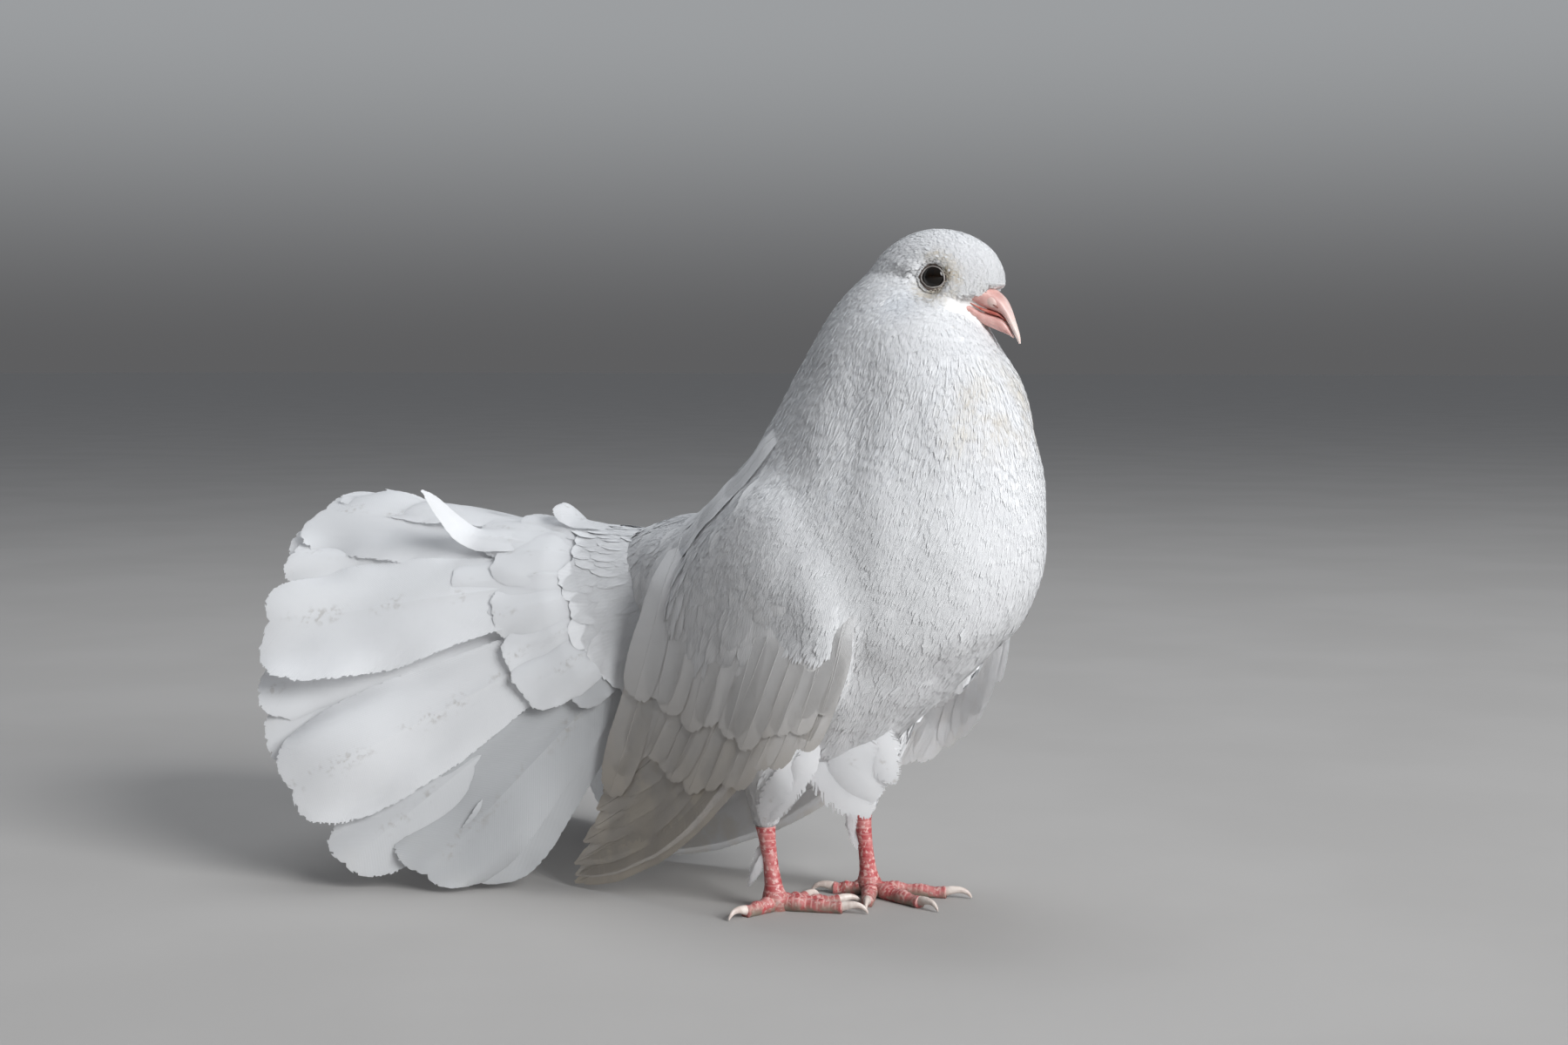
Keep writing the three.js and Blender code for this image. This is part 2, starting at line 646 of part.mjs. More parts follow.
function toe(foot, [turn, length]) {
  const [along, across] = toeAim(turn);
  return loft(steps(2 * TOE_KNUCKLES).map((t, step) => {
    const radius = mix(TOE_RADIUS, TOE_TIP_RADIUS, t) * (step % 2 ? TOE_WAIST : TOE_KNUCKLE);
    const centre = vec(...foot, radius * TOE_SINK + (t === 0 ? TOE_ROOT_LIFT : 0));
    return ring(centre.addScaledVector(along, length * t), across, UP, radius, radius, TOE_SIDES);
  }));
}

function claw(foot, [turn, length, clawLength]) {
  const [along, across] = toeAim(turn);
  return loft(steps(CLAW_RINGS - 1).map((t) => {
    const bend = radians(mix(...CLAW_BEND, t));
    const radius = CLAW_RADIUS * (1 - t) ** CLAW_TAPER + CLAW_TIP_RADIUS;
    const gone = Math.sin(t * CLAW_TURN) / Math.sin(CLAW_TURN);
    const drop = mix(TOE_TIP_RADIUS, CLAW_TIP_Z, t ** CLAW_DROP);
    const centre = vec(...foot, drop + CLAW_ARCH * Math.sin(Math.PI * t))
      .addScaledVector(along, length + GAP + clawLength * gone);
    const up = UP.clone().multiplyScalar(Math.cos(bend)).addScaledVector(along, -Math.sin(bend));
    return ring(centre, across, up, radius * CLAW_NARROW, radius, CLAW_SIDES);
  }));
}

function shank(side) {
  const { foot, ankle } = LEGS[side];
  return loft(SHANK_ROWS.map(([z, long, wide]) => {
    const centre = vec(...mixed(foot, ankle, z / ANKLE_Z), z);
    return ring(centre, FORWARD, SIDE, long, wide, SHANK_SIDES);
  }));
}

function footSolid(side) {
  const { foot, toes } = LEGS[side];
  const pieces = Object.values(toes).map((row) => toe(foot, row));
  return fuse([shank(side), ...pieces]).intersect(levels(0, FAR));
}

const bird = new THREE.Group();

function addNode(name, shape, material) {
  const mesh = largest(shape).getMesh();
  const geometry = new THREE.BufferGeometry();
  geometry.setAttribute('position', new THREE.BufferAttribute(mesh.vertProperties, 3));
  geometry.setIndex(new THREE.BufferAttribute(mesh.triVerts, 1));
  geometry.computeVertexNormals();
  const node = new THREE.Mesh(geometry, material);
  node.name = name;
  bird.add(node);
}

addNode('head', head(), WHITE);
addNode('neck', wholeBody.intersect(levels(NECK_BASE + GAP / 2, NECK_TOP - GAP / 2)), WHITE);
addNode('torso', wholeBody.intersect(levels(0, NECK_BASE - GAP / 2)), WHITE);
addNode('bill_upper', billUpper(), BILL_PINK);
addNode('bill_lower', billLoft(BILL_LOW_ROWS, 0), BILL_PINK);
for (const [name, side] of Object.entries(sides)) {
  addNode(`eye_${name}`, eyeBall(side, 0), EYE_DARK);
  const besideWing = fuse([aroundBody, thigh(name, GAP)]);
  addNode(`wing_${name}`, wing(name).subtract(besideWing).intersect(floorUp), WHITE);
  addNode(`thigh_${name}`, thigh(name, 0).subtract(aroundBody), WHITE);
  addNode(`foot_${name}`, footSolid(name), LEG_RED);
  for (const [toeName, row] of Object.entries(LEGS[name].toes)) {
    addNode(`claw_${name}_${toeName}`, claw(LEGS[name].foot, row).intersect(floorUp), HORN);
  }
}
for (const name of Object.keys(TAIL_PARTS)) {
  addNode(name, tailPart(name).subtract(aroundBody).intersect(floorUp), WHITE);
}

// The frame's origin: the middle of the whole bird's box, on the floor.
const box = new THREE.Box3().setFromObject(bird, true);
bird.position.set(-(box.min.x + box.max.x) / 2, -(box.min.y + box.max.y) / 2, -box.min.z);

export default bird;
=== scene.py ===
"""A white fantail pigeon: one smooth skin, a coat of small feathers, and the wings' and tail's vanes.

Shapes are made in millimetres in a work frame: +X the breast, +Y the bird's left, +Z up, with the
origin on the floor midway between the feet. to_frame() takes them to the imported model's frame.
"""
import math

import bpy
import numpy as np
from mathutils import Matrix, Vector, noise as cloud
from mathutils.bvhtree import BVHTree
from mathutils.kdtree import KDTree


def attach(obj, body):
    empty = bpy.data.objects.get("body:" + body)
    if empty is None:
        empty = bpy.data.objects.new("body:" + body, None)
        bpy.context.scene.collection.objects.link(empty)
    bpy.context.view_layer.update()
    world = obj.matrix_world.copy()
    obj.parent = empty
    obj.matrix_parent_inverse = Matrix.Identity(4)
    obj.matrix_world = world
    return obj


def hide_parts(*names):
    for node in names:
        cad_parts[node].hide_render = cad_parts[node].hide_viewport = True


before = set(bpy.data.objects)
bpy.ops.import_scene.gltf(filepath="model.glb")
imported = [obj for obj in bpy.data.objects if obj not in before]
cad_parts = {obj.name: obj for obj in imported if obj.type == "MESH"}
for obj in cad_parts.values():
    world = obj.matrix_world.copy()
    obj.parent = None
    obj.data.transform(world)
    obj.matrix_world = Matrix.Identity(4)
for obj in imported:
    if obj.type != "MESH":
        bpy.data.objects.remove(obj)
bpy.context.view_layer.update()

SHIFT = np.array([64.612, -0.296, 0.0])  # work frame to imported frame, mm
SEED = 11
cloud.seed_set(SEED)  # without it, noise_vector takes its seed from the clock
PIECE_FEATHERS = 5000  # small feathers in one piece of the coat at most
PATCH = 0.0015  # half the size of a small feather's patch on the map
SIDES = {"left": 1, "right": -1}
X_AXIS, Y_AXIS, Z_AXIS = np.eye(3)

# The body with its plumage, by height: back, front, half width.
BODY_ROWS = np.array([
    [46, -12, 6, 7], [52, -24, 17, 17], [62, -38, 28, 28], [77, -49, 46, 37], [92, -56, 61, 42],
    [104, -59, 74, 45], [118, -58, 81.5, 46], [138, -50, 84.5, 45], [163, -25, 82, 39],
    [188, -9.5, 75.5, 32.5], [204, 0, 66, 27.5], [214, 6, 60, 22.5], [223, 13.5, 53, 16.5],
    [230, 21, 45, 9],
])
BODY_POWER = 2.15
# Depth of the coat over the skin.
BODY_COAT, HEAD_COAT, RUMP_COAT, THIGH_COAT = 0.7, 0.35, 1.2, 1.0
SKIN_VOXEL = 1.5
# Limits of the coat's pieces: the head's and the neck's least height, the legs' greatest one, and
# the breast's least x.
HEAD_FROM, NECK_FROM, LEGS_TO, BREAST_FROM = 207, 160, 60, 12
LUMP_SCALE = np.array([1 / 13, 1 / 13, 1 / 20])
LUMP_HEIGHT = 0.9
# The middle line of the broad back: x and z.
MANTLE_LINE = np.array([[14, 158], [4, 158], [-16, 146], [-38, 128], [-54, 106], [-66, 90]], float)
MANTLE_HIGH = 11
MANTLE_OUT = np.array([-0.667, 0, 0.744])

# The fan opens round an axis that dips to the rear.
TAIL_ROOT = np.array([-68.0, 0.0, 105.0])
TAIL_DIP = math.radians(34)
TAIL_BACK = np.array([-math.cos(TAIL_DIP), 0, -math.sin(TAIL_DIP)])
TAIL_UP = np.array([-math.sin(TAIL_DIP), 0, math.cos(TAIL_DIP)])
TAIL_OPEN_UP = math.tan(math.radians(48.5))
TAIL_OPEN_SIDE = math.tan(math.radians(33))
TAIL_ROOT_HIGH, TAIL_ROOT_WIDE = 28, 19
TIP_REACH = np.array([[0, 146], [30, 152], [60, 154], [90, 152], [110, 144], [180, 132]])
TURN_JITTER = 0.75625  # degrees
MIDDLE_TURN = 3.0
TAIL_TILT, CUP, SHAFT_RIDGE = 0.03, 2.5, 0.8
FLOOR_BEND = 7.0  # the feathers bend over the floor from this height down
FLOOR_LEAST = 0.3
FAN_CLEAR = 4.0  # height of the lowest tips over the floor, nearly
# The rump along the fan's axis: place, half width, height.
RUMP_ROWS = np.array([[-62, 28, 8], [-40, 32, 19], [-20, 29, 27], [-6, 24.5, 30], [6, 23, 28],
                      [18, 19, 22], [36, 10, 11]])

WING_TIP_HALF = 28
WING_BULGE, WING_BULGE_X, WING_BULGE_SPREAD = 24, 15, 72
WING_TOP_Z, WING_TOP_LEAN = 115, 0.0046
WING_ROWS, WING_COLUMNS = 24, 20
WING_DEPTH = 4  # the vanes' layers under the wing's outline
SEAM_REACH = 11
LEFT_SWAY, LEFT_DROP = 13, 9
SWAY_X, SWAY_Z = (-92, 8), (160, 100)
ARM_UPPER = np.array([[4, 158], [-16, 146], [-38, 128], [-54, 106]], float)
ARM_LOWER = np.array([[37, 113], [28, 84], [-2, 66], [-40, 84]], float)
VANE_SINK, WRIST_SINK = 4.0, 1.2
# How dark each wing grows towards its tips: partly soil, but on the right wing, which lies in shade, mostly
# painted shade.
WING_SOIL_AND_SHADE = {"right": 0.85, "left": 0.1}
COVERT_GAP, COVERT_LONG, COVERT_WIDE = 3.6, 14.0, 9.0
RUMP_GAP, RUMP_LONG, RUMP_WIDE, RUMP_LIFT = 2.8, 19.0, 13.0, 0.2
# Scapulars, as shares of the line between the shoulder and the wing's rear edge.
SCAPULARS = [(-0.06, 0.42), (0.10, 0.62), (0.30, 0.80), (0.48, 1.0)]
SCAPULAR_START, SCAPULAR_RUN = np.array([3.0, 170.0]), np.array([-59.0, -64.0])
SCAPULAR_HALF = 7.5
SCAPULAR_LIFT = {"right": 2.0, "left": 0.9}

# Loose feathers between and behind the legs: path and half width of each, the last on top.
PLUME = [
    ([[24, -10, 86], [26, -12, 70], [29, -10, 58], [33, -6, 48]], 8),
    ([[-4, -14, 84], [0, -17, 66], [7, -14, 52], [17, -8, 40]], 8),
    ([[16, -13, 84], [19, -16, 66], [21, -13, 52], [24, -7, 40]], 11),
    ([[6, -15, 84], [9, -18, 66], [14, -15, 50], [23, -7, 35]], 11),
    ([[13, -25, 66], [8, -28, 54], [0, -28, 43], [-7, -25, 33]], 5),
    ([[6, -27, 62], [1, -30, 50], [-6, -28, 40], [-11, -24, 31]], 5),
    ([[2.5, 19, 40], [1.6, 18, 31], [2.2, 17.5, 24], [4, 17, 17]], 3),
    ([[5, 16, 38], [3, 15.5, 30], [2.4, 16, 22]], 2.2),
    ([[-13.5, -18.5, 25], [-15.5, -19.5, 19], [-18, -19.5, 12], [-20.5, -19, 7]], 2.2),
    ([[-12.5, -20, 21], [-15, -21, 15], [-18.5, -21, 9]], 1.8),
]
PLUME_OUT = np.array([0.36, -0.93, 0.05])
# The way the small feathers lie on the trunk, the neck and the thighs.
TRUNK_WAY, NECK_WAY, THIGH_WAY = np.array([[-0.55, 0, -0.83], [-0.22, 0, -0.97], [-0.1, 0, -1]])

HEAD_PLACE = np.array([46.3, 3, 225.5])
HEAD_YAW = math.radians(7)
HEAD_TURN = np.array([
    [math.cos(HEAD_YAW), -math.sin(HEAD_YAW), 0],
    [math.sin(HEAD_YAW), math.cos(HEAD_YAW), 0],
    [0, 0, 1],
])
# The head in its own frame: x, half width, lower and upper z.
HEAD_ROWS = np.array([
    [-26, 6, -9, 4], [-20, 11.5, -15, 10.8], [-11, 14.6, -19, 15.8], [-2, 15.4, -20, 17.3],
    [7, 14.2, -19, 15.9], [13, 11.6, -16.5, 13.2], [17.5, 8.6, -12.5, 9.9], [20.4, 5.8, -8, 5.6],
    [22, 3, -4.6, 1.8],
])
# The bill and the mouth in the head's frame: x and z of two outlines, half width.
BILL_TOP_ROWS = np.array([
    [9.5, -1.5, 6.5, -7.2, 10.4], [15.5, -2.6, 11.5, -8.4, 7.8], [19.8, -4.6, 15.6, -10.7, 5.7],
    [22.9, -7.4, 19.2, -11.8, 4.4], [24.9, -11.2, 22.4, -13.2, 3.3], [26.6, -15.6, 24.6, -16.4, 2.2],
    [28.1, -19.9, 26.6, -20.3, 1.2], [28.5, -22.8, 27.9, -22.9, 0.4],
])
BILL_LOW_ROWS = np.array([
    [6.5, -7.4, 5.5, -10.4, 10.0], [11.5, -8.6, 10.5, -12.4, 7.2], [15.6, -11.1, 15.0, -15.8, 5.2],
    [19.2, -12.8, 18.8, -17.6, 3.8], [22.2, -14.0, 22.0, -18.9, 2.8], [24.2, -16.6, 24.3, -19.9, 1.9],
    [25.9, -20.2, 25.9, -21.0, 0.7],
])
MOUTH_ROWS = np.array([
    [7.0, -6.9, 6.6, -7.9, 8.4], [11.5, -8.2, 11.3, -8.9, 6.3], [15.7, -10.2, 15.5, -11.5, 5.45],
    [18.6, -11.1, 18.3, -12.8, 4.25], [21.4, -12.3, 21.1, -13.6, 3.2], [23.6, -14.6, 23.4, -15.0, 1.8],
])
# The cere and the nostril: place, size along, out and up.
CERE = np.array([18.2, 3.0, -7.6]), (4.4, 2.5, 2.3)
NOSTRIL = np.array([20.4, 4.1, -9.7]), (1.7, 0.9, 0.34)
CERE_TILT = math.radians(-38)
# The feathers' edge over the bill, and the lower edge of the bill at the chin: x and z.
FACE_EDGE = np.array([[5, -6.0], [8.5, -6.6], [11, -7.2], [14.3, -7.2], [16.8, -5.8], [19.3, -4.2],
                      [23, -3.2]])
CHIN_EDGE = np.array([[5, -9.4], [9, -10.8], [12.5, -13.0], [16.6, -16.4], [20.5, -18.6], [25, -20.4]])
FACE_FROM, FACE_SIDE = 200, 7  # the face's least height, and how far out its sides begin
CREASE = ((-4.0, 0.8), (-13.0, 2.0))  # fold behind the eye, x and z at both ends
EAR, EAR_DEPTH = (-7.0, -7.8), 2.3  # hollow under the fold, x and z
BILL_ROOT = np.array([20.0, 0.0, -6.0])
EYE = np.array([1.3, 9.6, 0.0])
EYE_RADIUS = 5.2
# The rings of skin round the eye: radius, thickness, how far out from the eye's middle.
LID_SIZES, RIM_SIZES = (3.85, 0.28, 3.75), (4.5, 0.6, 3.0)
LASHES = 260
# The fine feathers of the head: gap, length, width.
HEAD_GAP, HEAD_LONG, HEAD_WIDE = 1.2, 3.4, 0.8

ANKLE_Z, THIGH_Z = 30, 66
# Places of the legs' joints, and of each toe the turn, its length and the claw's.
LEGS = {
    "right": {"foot": (-8.9, -18), "ankle": (-13.5, -18.5), "thigh": (-7, -22),
              "toes": {"hind": (-102, 16, 8), "inner": (78, 15, 7), "middle": (45, 23, 8),
                       "outer": (19, 24, 9)}},
    "left": {"foot": (8, 20.4), "ankle": (4.5, 19.5), "thigh": (6, 23),
             "toes": {"hind": (202, 14, 8), "inner": (-64, 20, 8), "middle": (-19, 27, 9),
                      "outer": (21, 28, 9)}},
}
# Share of the way down, or height, and half the size along and across.
THIGH_ROWS = np.array([[-0.5, 21, 15], [0, 19.5, 13.5], [0.35, 14.5, 11.5], [0.7, 8.6, 8],
                       [1, 4.9, 4.6]])
SHANK_ROWS = np.array([[0, 4, 3.8], [4, 4.8, 4.5], [9, 3.3, 3.1], [17, 2.8, 2.6], [25, 3.1, 2.8],
                       [30, 3.7, 3.3]])
TOE_ROOT, TOE_END = 3.2, 2.2
CLAW_ROOT, CLAW_HIGH, CLAW_LOW = 1.75, 2.4, 0.25

# The photograph's camera, work frame.
CAMERA_PLACE = np.array([425.5, -708.4, 195.7])
CAMERA_HEADING = math.radians(32)
CAMERA_PITCH = math.radians(-3.94)
CAMERA_LENS = 52.84

WORLD_FLOOR = (0.112, 0.112, 0.115)
WORLD_NEAR = (0.035, 0.032, 0.028)
WORLD_FAR = (0.34, 0.35, 0.36)
WORLD_HIGH = (0.23, 0.245, 0.27)
FLOOR_REACH = 40000
# The lamps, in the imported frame: place, what it points at, size, power, colour.
LAMPS = {
    "key": ((3.37, -0.84, 1.78), (0.03, 0, 0.12), 2.2, 176, (0.97, 0.985, 1)),
    "top": ((-0.3, 0.3, 1.9), (-0.05, 0, 0.1), 1.3, 11, (0.93, 0.965, 1)),
}


def to_frame(points):
    return (np.asarray(points, float) + SHIFT) / 1000


def from_head(points):
    return np.asarray(points) @ HEAD_TURN.T + HEAD_PLACE


def in_head(points):
    return (np.asarray(points) - HEAD_PLACE) @ HEAD_TURN


def unit(vectors):
    return vectors / np.maximum(np.linalg.norm(vectors, axis=-1, keepdims=True), 1e-9)


def level(degrees):
    """A level vector at a turn from +X."""
    return np.array([math.cos(math.radians(degrees)), math.sin(math.radians(degrees)), 0])


def smooth(value, low, high):
    """0 below low, 1 above high, eased between."""
    t = np.clip((np.asarray(value, float) - low) / (high - low), 0, 1)
    return t * t * (3 - 2 * t)


def through(rows, t):
    """Catmull-Rom through rows of numbers at each t from 0 to 1."""
    last = len(rows) - 1
    place = np.clip(np.asarray(t, float), 0, 1) * last
    start = np.minimum(place.astype(int), last - 1)
    u = (place - start)[..., None]
    p0, p1, p2, p3 = (rows[np.clip(start + k, 0, last)] for k in (-1, 0, 1, 2))
    return 0.5 * (2 * p1 + (p2 - p0) * u + (2 * p0 - 5 * p1 + 4 * p2 - p3) * u ** 2
                  + (3 * p1 - p0 - 3 * p2 + p3) * u ** 3)


def waves(u, v, seed):
    """Smooth noise for each pair of numbers in two arrays."""
    return np.array([cloud.noise((a, b, seed)) for a, b in zip(u.ravel(), v.ravel())]).reshape(u.shape)


# Meshes

def new_mesh(name, points, polygons):
    """A mesh from points in the work frame and arrays of polygons."""
    mesh = bpy.data.meshes.new(name)
    mesh.vertices.add(len(points))
    mesh.vertices.foreach_set("co", to_frame(points).astype(np.float32).ravel())
    loops = np.concatenate([part.ravel() for part in polygons]).astype(np.int32)
    counts = np.concatenate([np.full(len(part), part.shape[1]) for part in polygons])
    starts = np.concatenate([[0], np.cumsum(counts)[:-1]]).astype(np.int32)
    mesh.loops.add(len(loops))
    mesh.loops.foreach_set("vertex_index", loops)
    mesh.polygons.add(len(starts))
    mesh.polygons.foreach_set("loop_start", starts)
    mesh.polygons.foreach_set("use_smooth", np.ones(len(starts), bool))
    mesh.update(calc_edges=True)
    return mesh


def new_piece(name, mesh, material, nodes=()):
    """An object that rides on the bird, takes a material and stands for CAD nodes, which it hides."""
    piece = bpy.data.objects.new(name, mesh)
    bpy.context.scene.collection.objects.link(piece)
    mesh.materials.clear()
    mesh.materials.append(material)
    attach(piece, "root")
    if nodes:
        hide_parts(*nodes)


def add_values(mesh, name, values):
    layer = mesh.attributes.new(name, "FLOAT", "POINT")
    layer.data.foreach_set("value", np.asarray(values, np.float32))


def add_uv(mesh, name, per_point):
    layer = mesh.uv_layers.new(name=name)
    index = np.empty(len(mesh.loops), np.int32)
    mesh.loops.foreach_get("vertex_index", index)
    layer.uv.foreach_set("vector", per_point[index].astype(np.float32).ravel())


def plain_piece(name, shape, material, slot, nodes=(), **values):
    """A piece from points and polygons, with the values at its points that the material reads."""
    mesh = new_mesh(name, *shape)
    for key, value in values.items():
        add_values(mesh, key, value)
    new_piece(name, mesh, material, nodes)


def loft_quads(rings, sides):
    """Quads round each pair of rings, open at both ends."""
    ring_at, side = np.meshgrid(np.arange(rings - 1), np.arange(sides), indexing="ij")
    a = ring_at * sides + side
    b = ring_at * sides + (side + 1) % sides
    return np.stack([a, b, b + sides, a + sides], -1).reshape(-1, 4)


def loft(rings):
    """Points and polygons of a closed loft over rings of equal count."""
    rings = np.asarray(rings)
    count, sides = rings.shape[:2]
    points = np.concatenate([rings.reshape(-1, 3), [rings[0].mean(0), rings[-1].mean(0)]])
    side = np.arange(sides)
    after = (side + 1) % sides
    low = np.stack([after, side, np.full(sides, count * sides)], -1)
    top = (count - 1) * sides
    high = np.stack([top + side, top + after, np.full(sides, count * sides + 1)], -1)
    return points, [loft_quads(count, sides), np.concatenate([low, high])]


def ring(centre, across, up, half_across, half_up, sides, power=2.0):
    turn = 2 * np.pi * np.arange(sides) / sides
    reach = [np.sign(v) * np.abs(v) ** (2 / power) for v in (np.cos(turn), np.sin(turn))]
    return (np.asarray(centre) + np.outer(reach[0], across) * half_across
            + np.outer(reach[1], up) * half_up)


def grid_quads(rows, columns):
    row, column = np.meshgrid(np.arange(rows), np.arange(columns), indexing="ij")
    a = row * (columns + 1) + column
    return np.stack([a, a + 1, a + columns + 2, a + columns + 1], -1).reshape(-1, 4)


def grid_triangles(rows, columns):
    quads = grid_quads(rows, columns)
    return np.concatenate([quads[:, :3], quads[:, [0, 2, 3]]])


def tree_of(points):
    tree = KDTree(len(points))
    for k, point in enumerate(points):
        tree.insert(point, k)
    tree.balance()
    return tree


def surface_of(points, triangles):
    return BVHTree.FromPolygons([tuple(p) for p in points], [tuple(t) for t in triangles])


def joined(parts):
    """Points and polygons of several meshes as one."""
    points, polygons, count = [], {3: [], 4: []}, 0
    for part_points, part_polygons in parts:
        points.append(part_points)
        for faces in part_polygons:
            polygons[faces.shape[1]].append(faces + count)
        count += len(part_points)
    return np.concatenate(points), [np.concatenate(p) for p in polygons.values() if p]


class Batch:
    """Many small meshes gathered into one piece, with the maps and values that its material reads."""

    def __init__(self):
        self.meshes, self.values = [], {key: [] for key in ("OFBake", "vane", "tone", "stain")}

    def add(self, points, polygons, bake, vane, tone=0.0, stain=0.0):
        self.meshes.append((points, polygons))
        tone, stain = (np.broadcast_to(value, len(points)) for value in (tone, stain))
        for parts, value in zip(self.values.values(), (bake, vane, tone, stain)):
            parts.append(value)

    def piece(self, name, material, nodes=()):
        mesh = new_mesh(name, *joined(self.meshes))
        for key, parts in self.values.items():
            add = add_uv if parts[0].ndim == 2 else add_values
            add(mesh, key, np.concatenate(parts))
        new_piece(name, mesh, material, nodes)


# Materials

def new_material(name):
    material = bpy.data.materials.new(name)
    material.use_nodes = True
    tree = material.node_tree
    return material, tree, tree.nodes["Principled BSDF"]


def node(tree, kind, inputs=None, **settings):
    made = tree.nodes.new(kind)
    for key, value in settings.items():
        setattr(made, key, value)
    for key, value in (inputs or {}).items():
        if isinstance(value, bpy.types.NodeSocket):
            tree.links.new(value, made.inputs[key])
        else:
            made.inputs[key].default_value = value
    return made


def maths(tree, operation, a, b=0.0, clamp=False):
    return node(tree, "ShaderNodeMath", {0: a, 1: b}, operation=operation, use_clamp=clamp).outputs[0]


def times(tree, a, b):
    return maths(tree, "MULTIPLY", a, b)


def mixed(tree, factor, a, b):
    made = node(tree, "ShaderNodeMix", {"Factor": factor}, data_type="RGBA")
    for key, value in (("A", a), ("B", b)):
        socket = [s for s in made.inputs if s.name == key and s.type == "RGBA"][0]
        if isinstance(value, bpy.types.NodeSocket):
            tree.links.new(value, socket)
        else:
            socket.default_value = (*value, 1)
    return [s for s in made.outputs if s.type == "RGBA"][0]


def ramp(tree, value, low, high):
    return node(tree, "ShaderNodeMapRange", {"Value": value, "From Min": low, "From Max": high},
                interpolation_type="SMOOTHSTEP").outputs[0]


def attribute(tree, name):
    return node(tree, "ShaderNodeAttribute", attribute_name=name).outputs["Fac"]


def noise(tree, scale, detail=3.0):
    place = node(tree, "ShaderNodeTexCoord").outputs["Object"]
    return node(tree, "ShaderNodeTexNoise", {"Vector": place, "Scale": scale, "Detail": detail}).outputs[0]


def finish(tree, shader, colour, height, strength, depth, roughness, sockets):
    """Gives a shader its colour, its fine relief and its other numbers."""
    tree.links.new(colour, shader.inputs["Base Color"])
    bump = node(tree, "ShaderNodeBump", {"Height": height, "Strength": strength, "Distance": depth})
    tree.links.new(bump.outputs[0], shader.inputs["Normal"])
    shader.inputs["Roughness"].default_value = roughness
    for key, value in sockets.items():
        shader.inputs[key].default_value = value


WHITE, SHADE_WHITE = (0.90, 0.905, 0.915), (0.74, 0.76, 0.79)
CREAM, BROWN, SMUDGE = (0.72, 0.64, 0.51), (0.20, 0.13, 0.08), (0.38, 0.34, 0.29)
# The wings' vanes and coverts darken towards a warm grey, for soil and painted shade.
SOIL_AND_SHADE, FAN_SHADE = (0.38, 0.33, 0.27), (0.60, 0.61, 0.62)
DOWNY = {"Subsurface Weight": 0.3, "Subsurface Radius": (0.003, 0.003, 0.003), "Subsurface Scale": 1.0,
         "Specular IOR Level": 0.3}


def plumage_material(name, stripes, thin=0.0, shade=SHADE_WHITE):
    """White feather: barbs as fine ridges, a little tone from feather to feather, cream and dirt; the tone
    also carries painted shade where the pieces set it high.
    """
    material, tree, shader = new_material(name)
    vane = node(tree, "ShaderNodeUVMap", uv_map="vane").outputs[0]
    parts = node(tree, "ShaderNodeSeparateXYZ", {0: vane}).outputs
    from_shaft = maths(tree, "ABSOLUTE", parts[0])
    wave = maths(tree, "SINE", times(tree, maths(tree, "SUBTRACT", parts[1], from_shaft), stripes))
    tone = maths(tree, "ADD", attribute(tree, "tone"), times(tree, wave, 0.05), True)
    stain = times(tree, attribute(tree, "stain"), ramp(tree, noise(tree, 90), 0.3, 0.62))
    cream = mixed(tree, ramp(tree, stain, 0.0, 0.6), mixed(tree, tone, WHITE, shade), CREAM)
    colour = mixed(tree, ramp(tree, stain, 0.6, 1.0), cream, BROWN)
    if thin:
        smudge = times(tree, ramp(tree, noise(tree, 420, 4), 0.48, 0.70),
                       ramp(tree, noise(tree, 60), 0.46, 0.62))
        smudge = times(tree, smudge, ramp(tree, from_shaft, 0.22, 0.02))
        colour = mixed(tree, times(tree, smudge, 0.4), colour, SMUDGE)
        through_light = node(tree, "ShaderNodeBsdfTranslucent", {"Color": colour}).outputs[0]
        both_ways = node(tree, "ShaderNodeMixShader", {0: thin, 1: shader.outputs[0], 2: through_light})
        tree.links.new(both_ways.outputs[0], tree.nodes["Material Output"].inputs["Surface"])
    bumpy = maths(tree, "ADD", times(tree, wave, 0.5), noise(tree, 260, 2))
    finish(tree, shader, colour, bumpy, 0.3, 0.0001, 0.72, DOWNY)
    return material


def surface_material(name, low, high, scale, roughness, bump_scale, bump_depth, pale=None, **sockets):
    """Two tones by noise, with a bump of its own scale; paler where the mesh's tone is high."""
    material, tree, shader = new_material(name)
    colour = mixed(tree, ramp(tree, noise(tree, scale, 4), 0.35, 0.65), low, high)
    if pale:
        colour = mixed(tree, attribute(tree, "tone"), colour, pale)
    finish(tree, shader, colour, noise(tree, bump_scale, 3), 0.5, bump_depth, roughness, sockets)
    return material


def leg_material():
    """Red skin with pale scutes and spots, and grey-brown dirt where the mesh's stain is high."""
    material, tree, shader = new_material("leg_skin")
    red = mixed(tree, ramp(tree, noise(tree, 320, 3), 0.35, 0.7), (0.44, 0.07, 0.075), (0.57, 0.21, 0.20))
    spots = times(tree, ramp(tree, noise(tree, 760, 2), 0.52, 0.64), 0.75)
    pale = maths(tree, "MAXIMUM", spots, times(tree, attribute(tree, "tone"), 0.8))
    scaly = mixed(tree, pale, red, (0.74, 0.50, 0.46))
    dirt = times(tree, attribute(tree, "stain"), ramp(tree, noise(tree, 190, 4), 0.32, 0.52))
    colour = mixed(tree, dirt, scaly, (0.23, 0.18, 0.14))
    finish(tree, shader, colour, noise(tree, 900, 3), 0.4, 0.0003, 0.5,
           {"Subsurface Weight": 0.1, "Subsurface Radius": (0.002, 0.0007, 0.0004)})
    return material


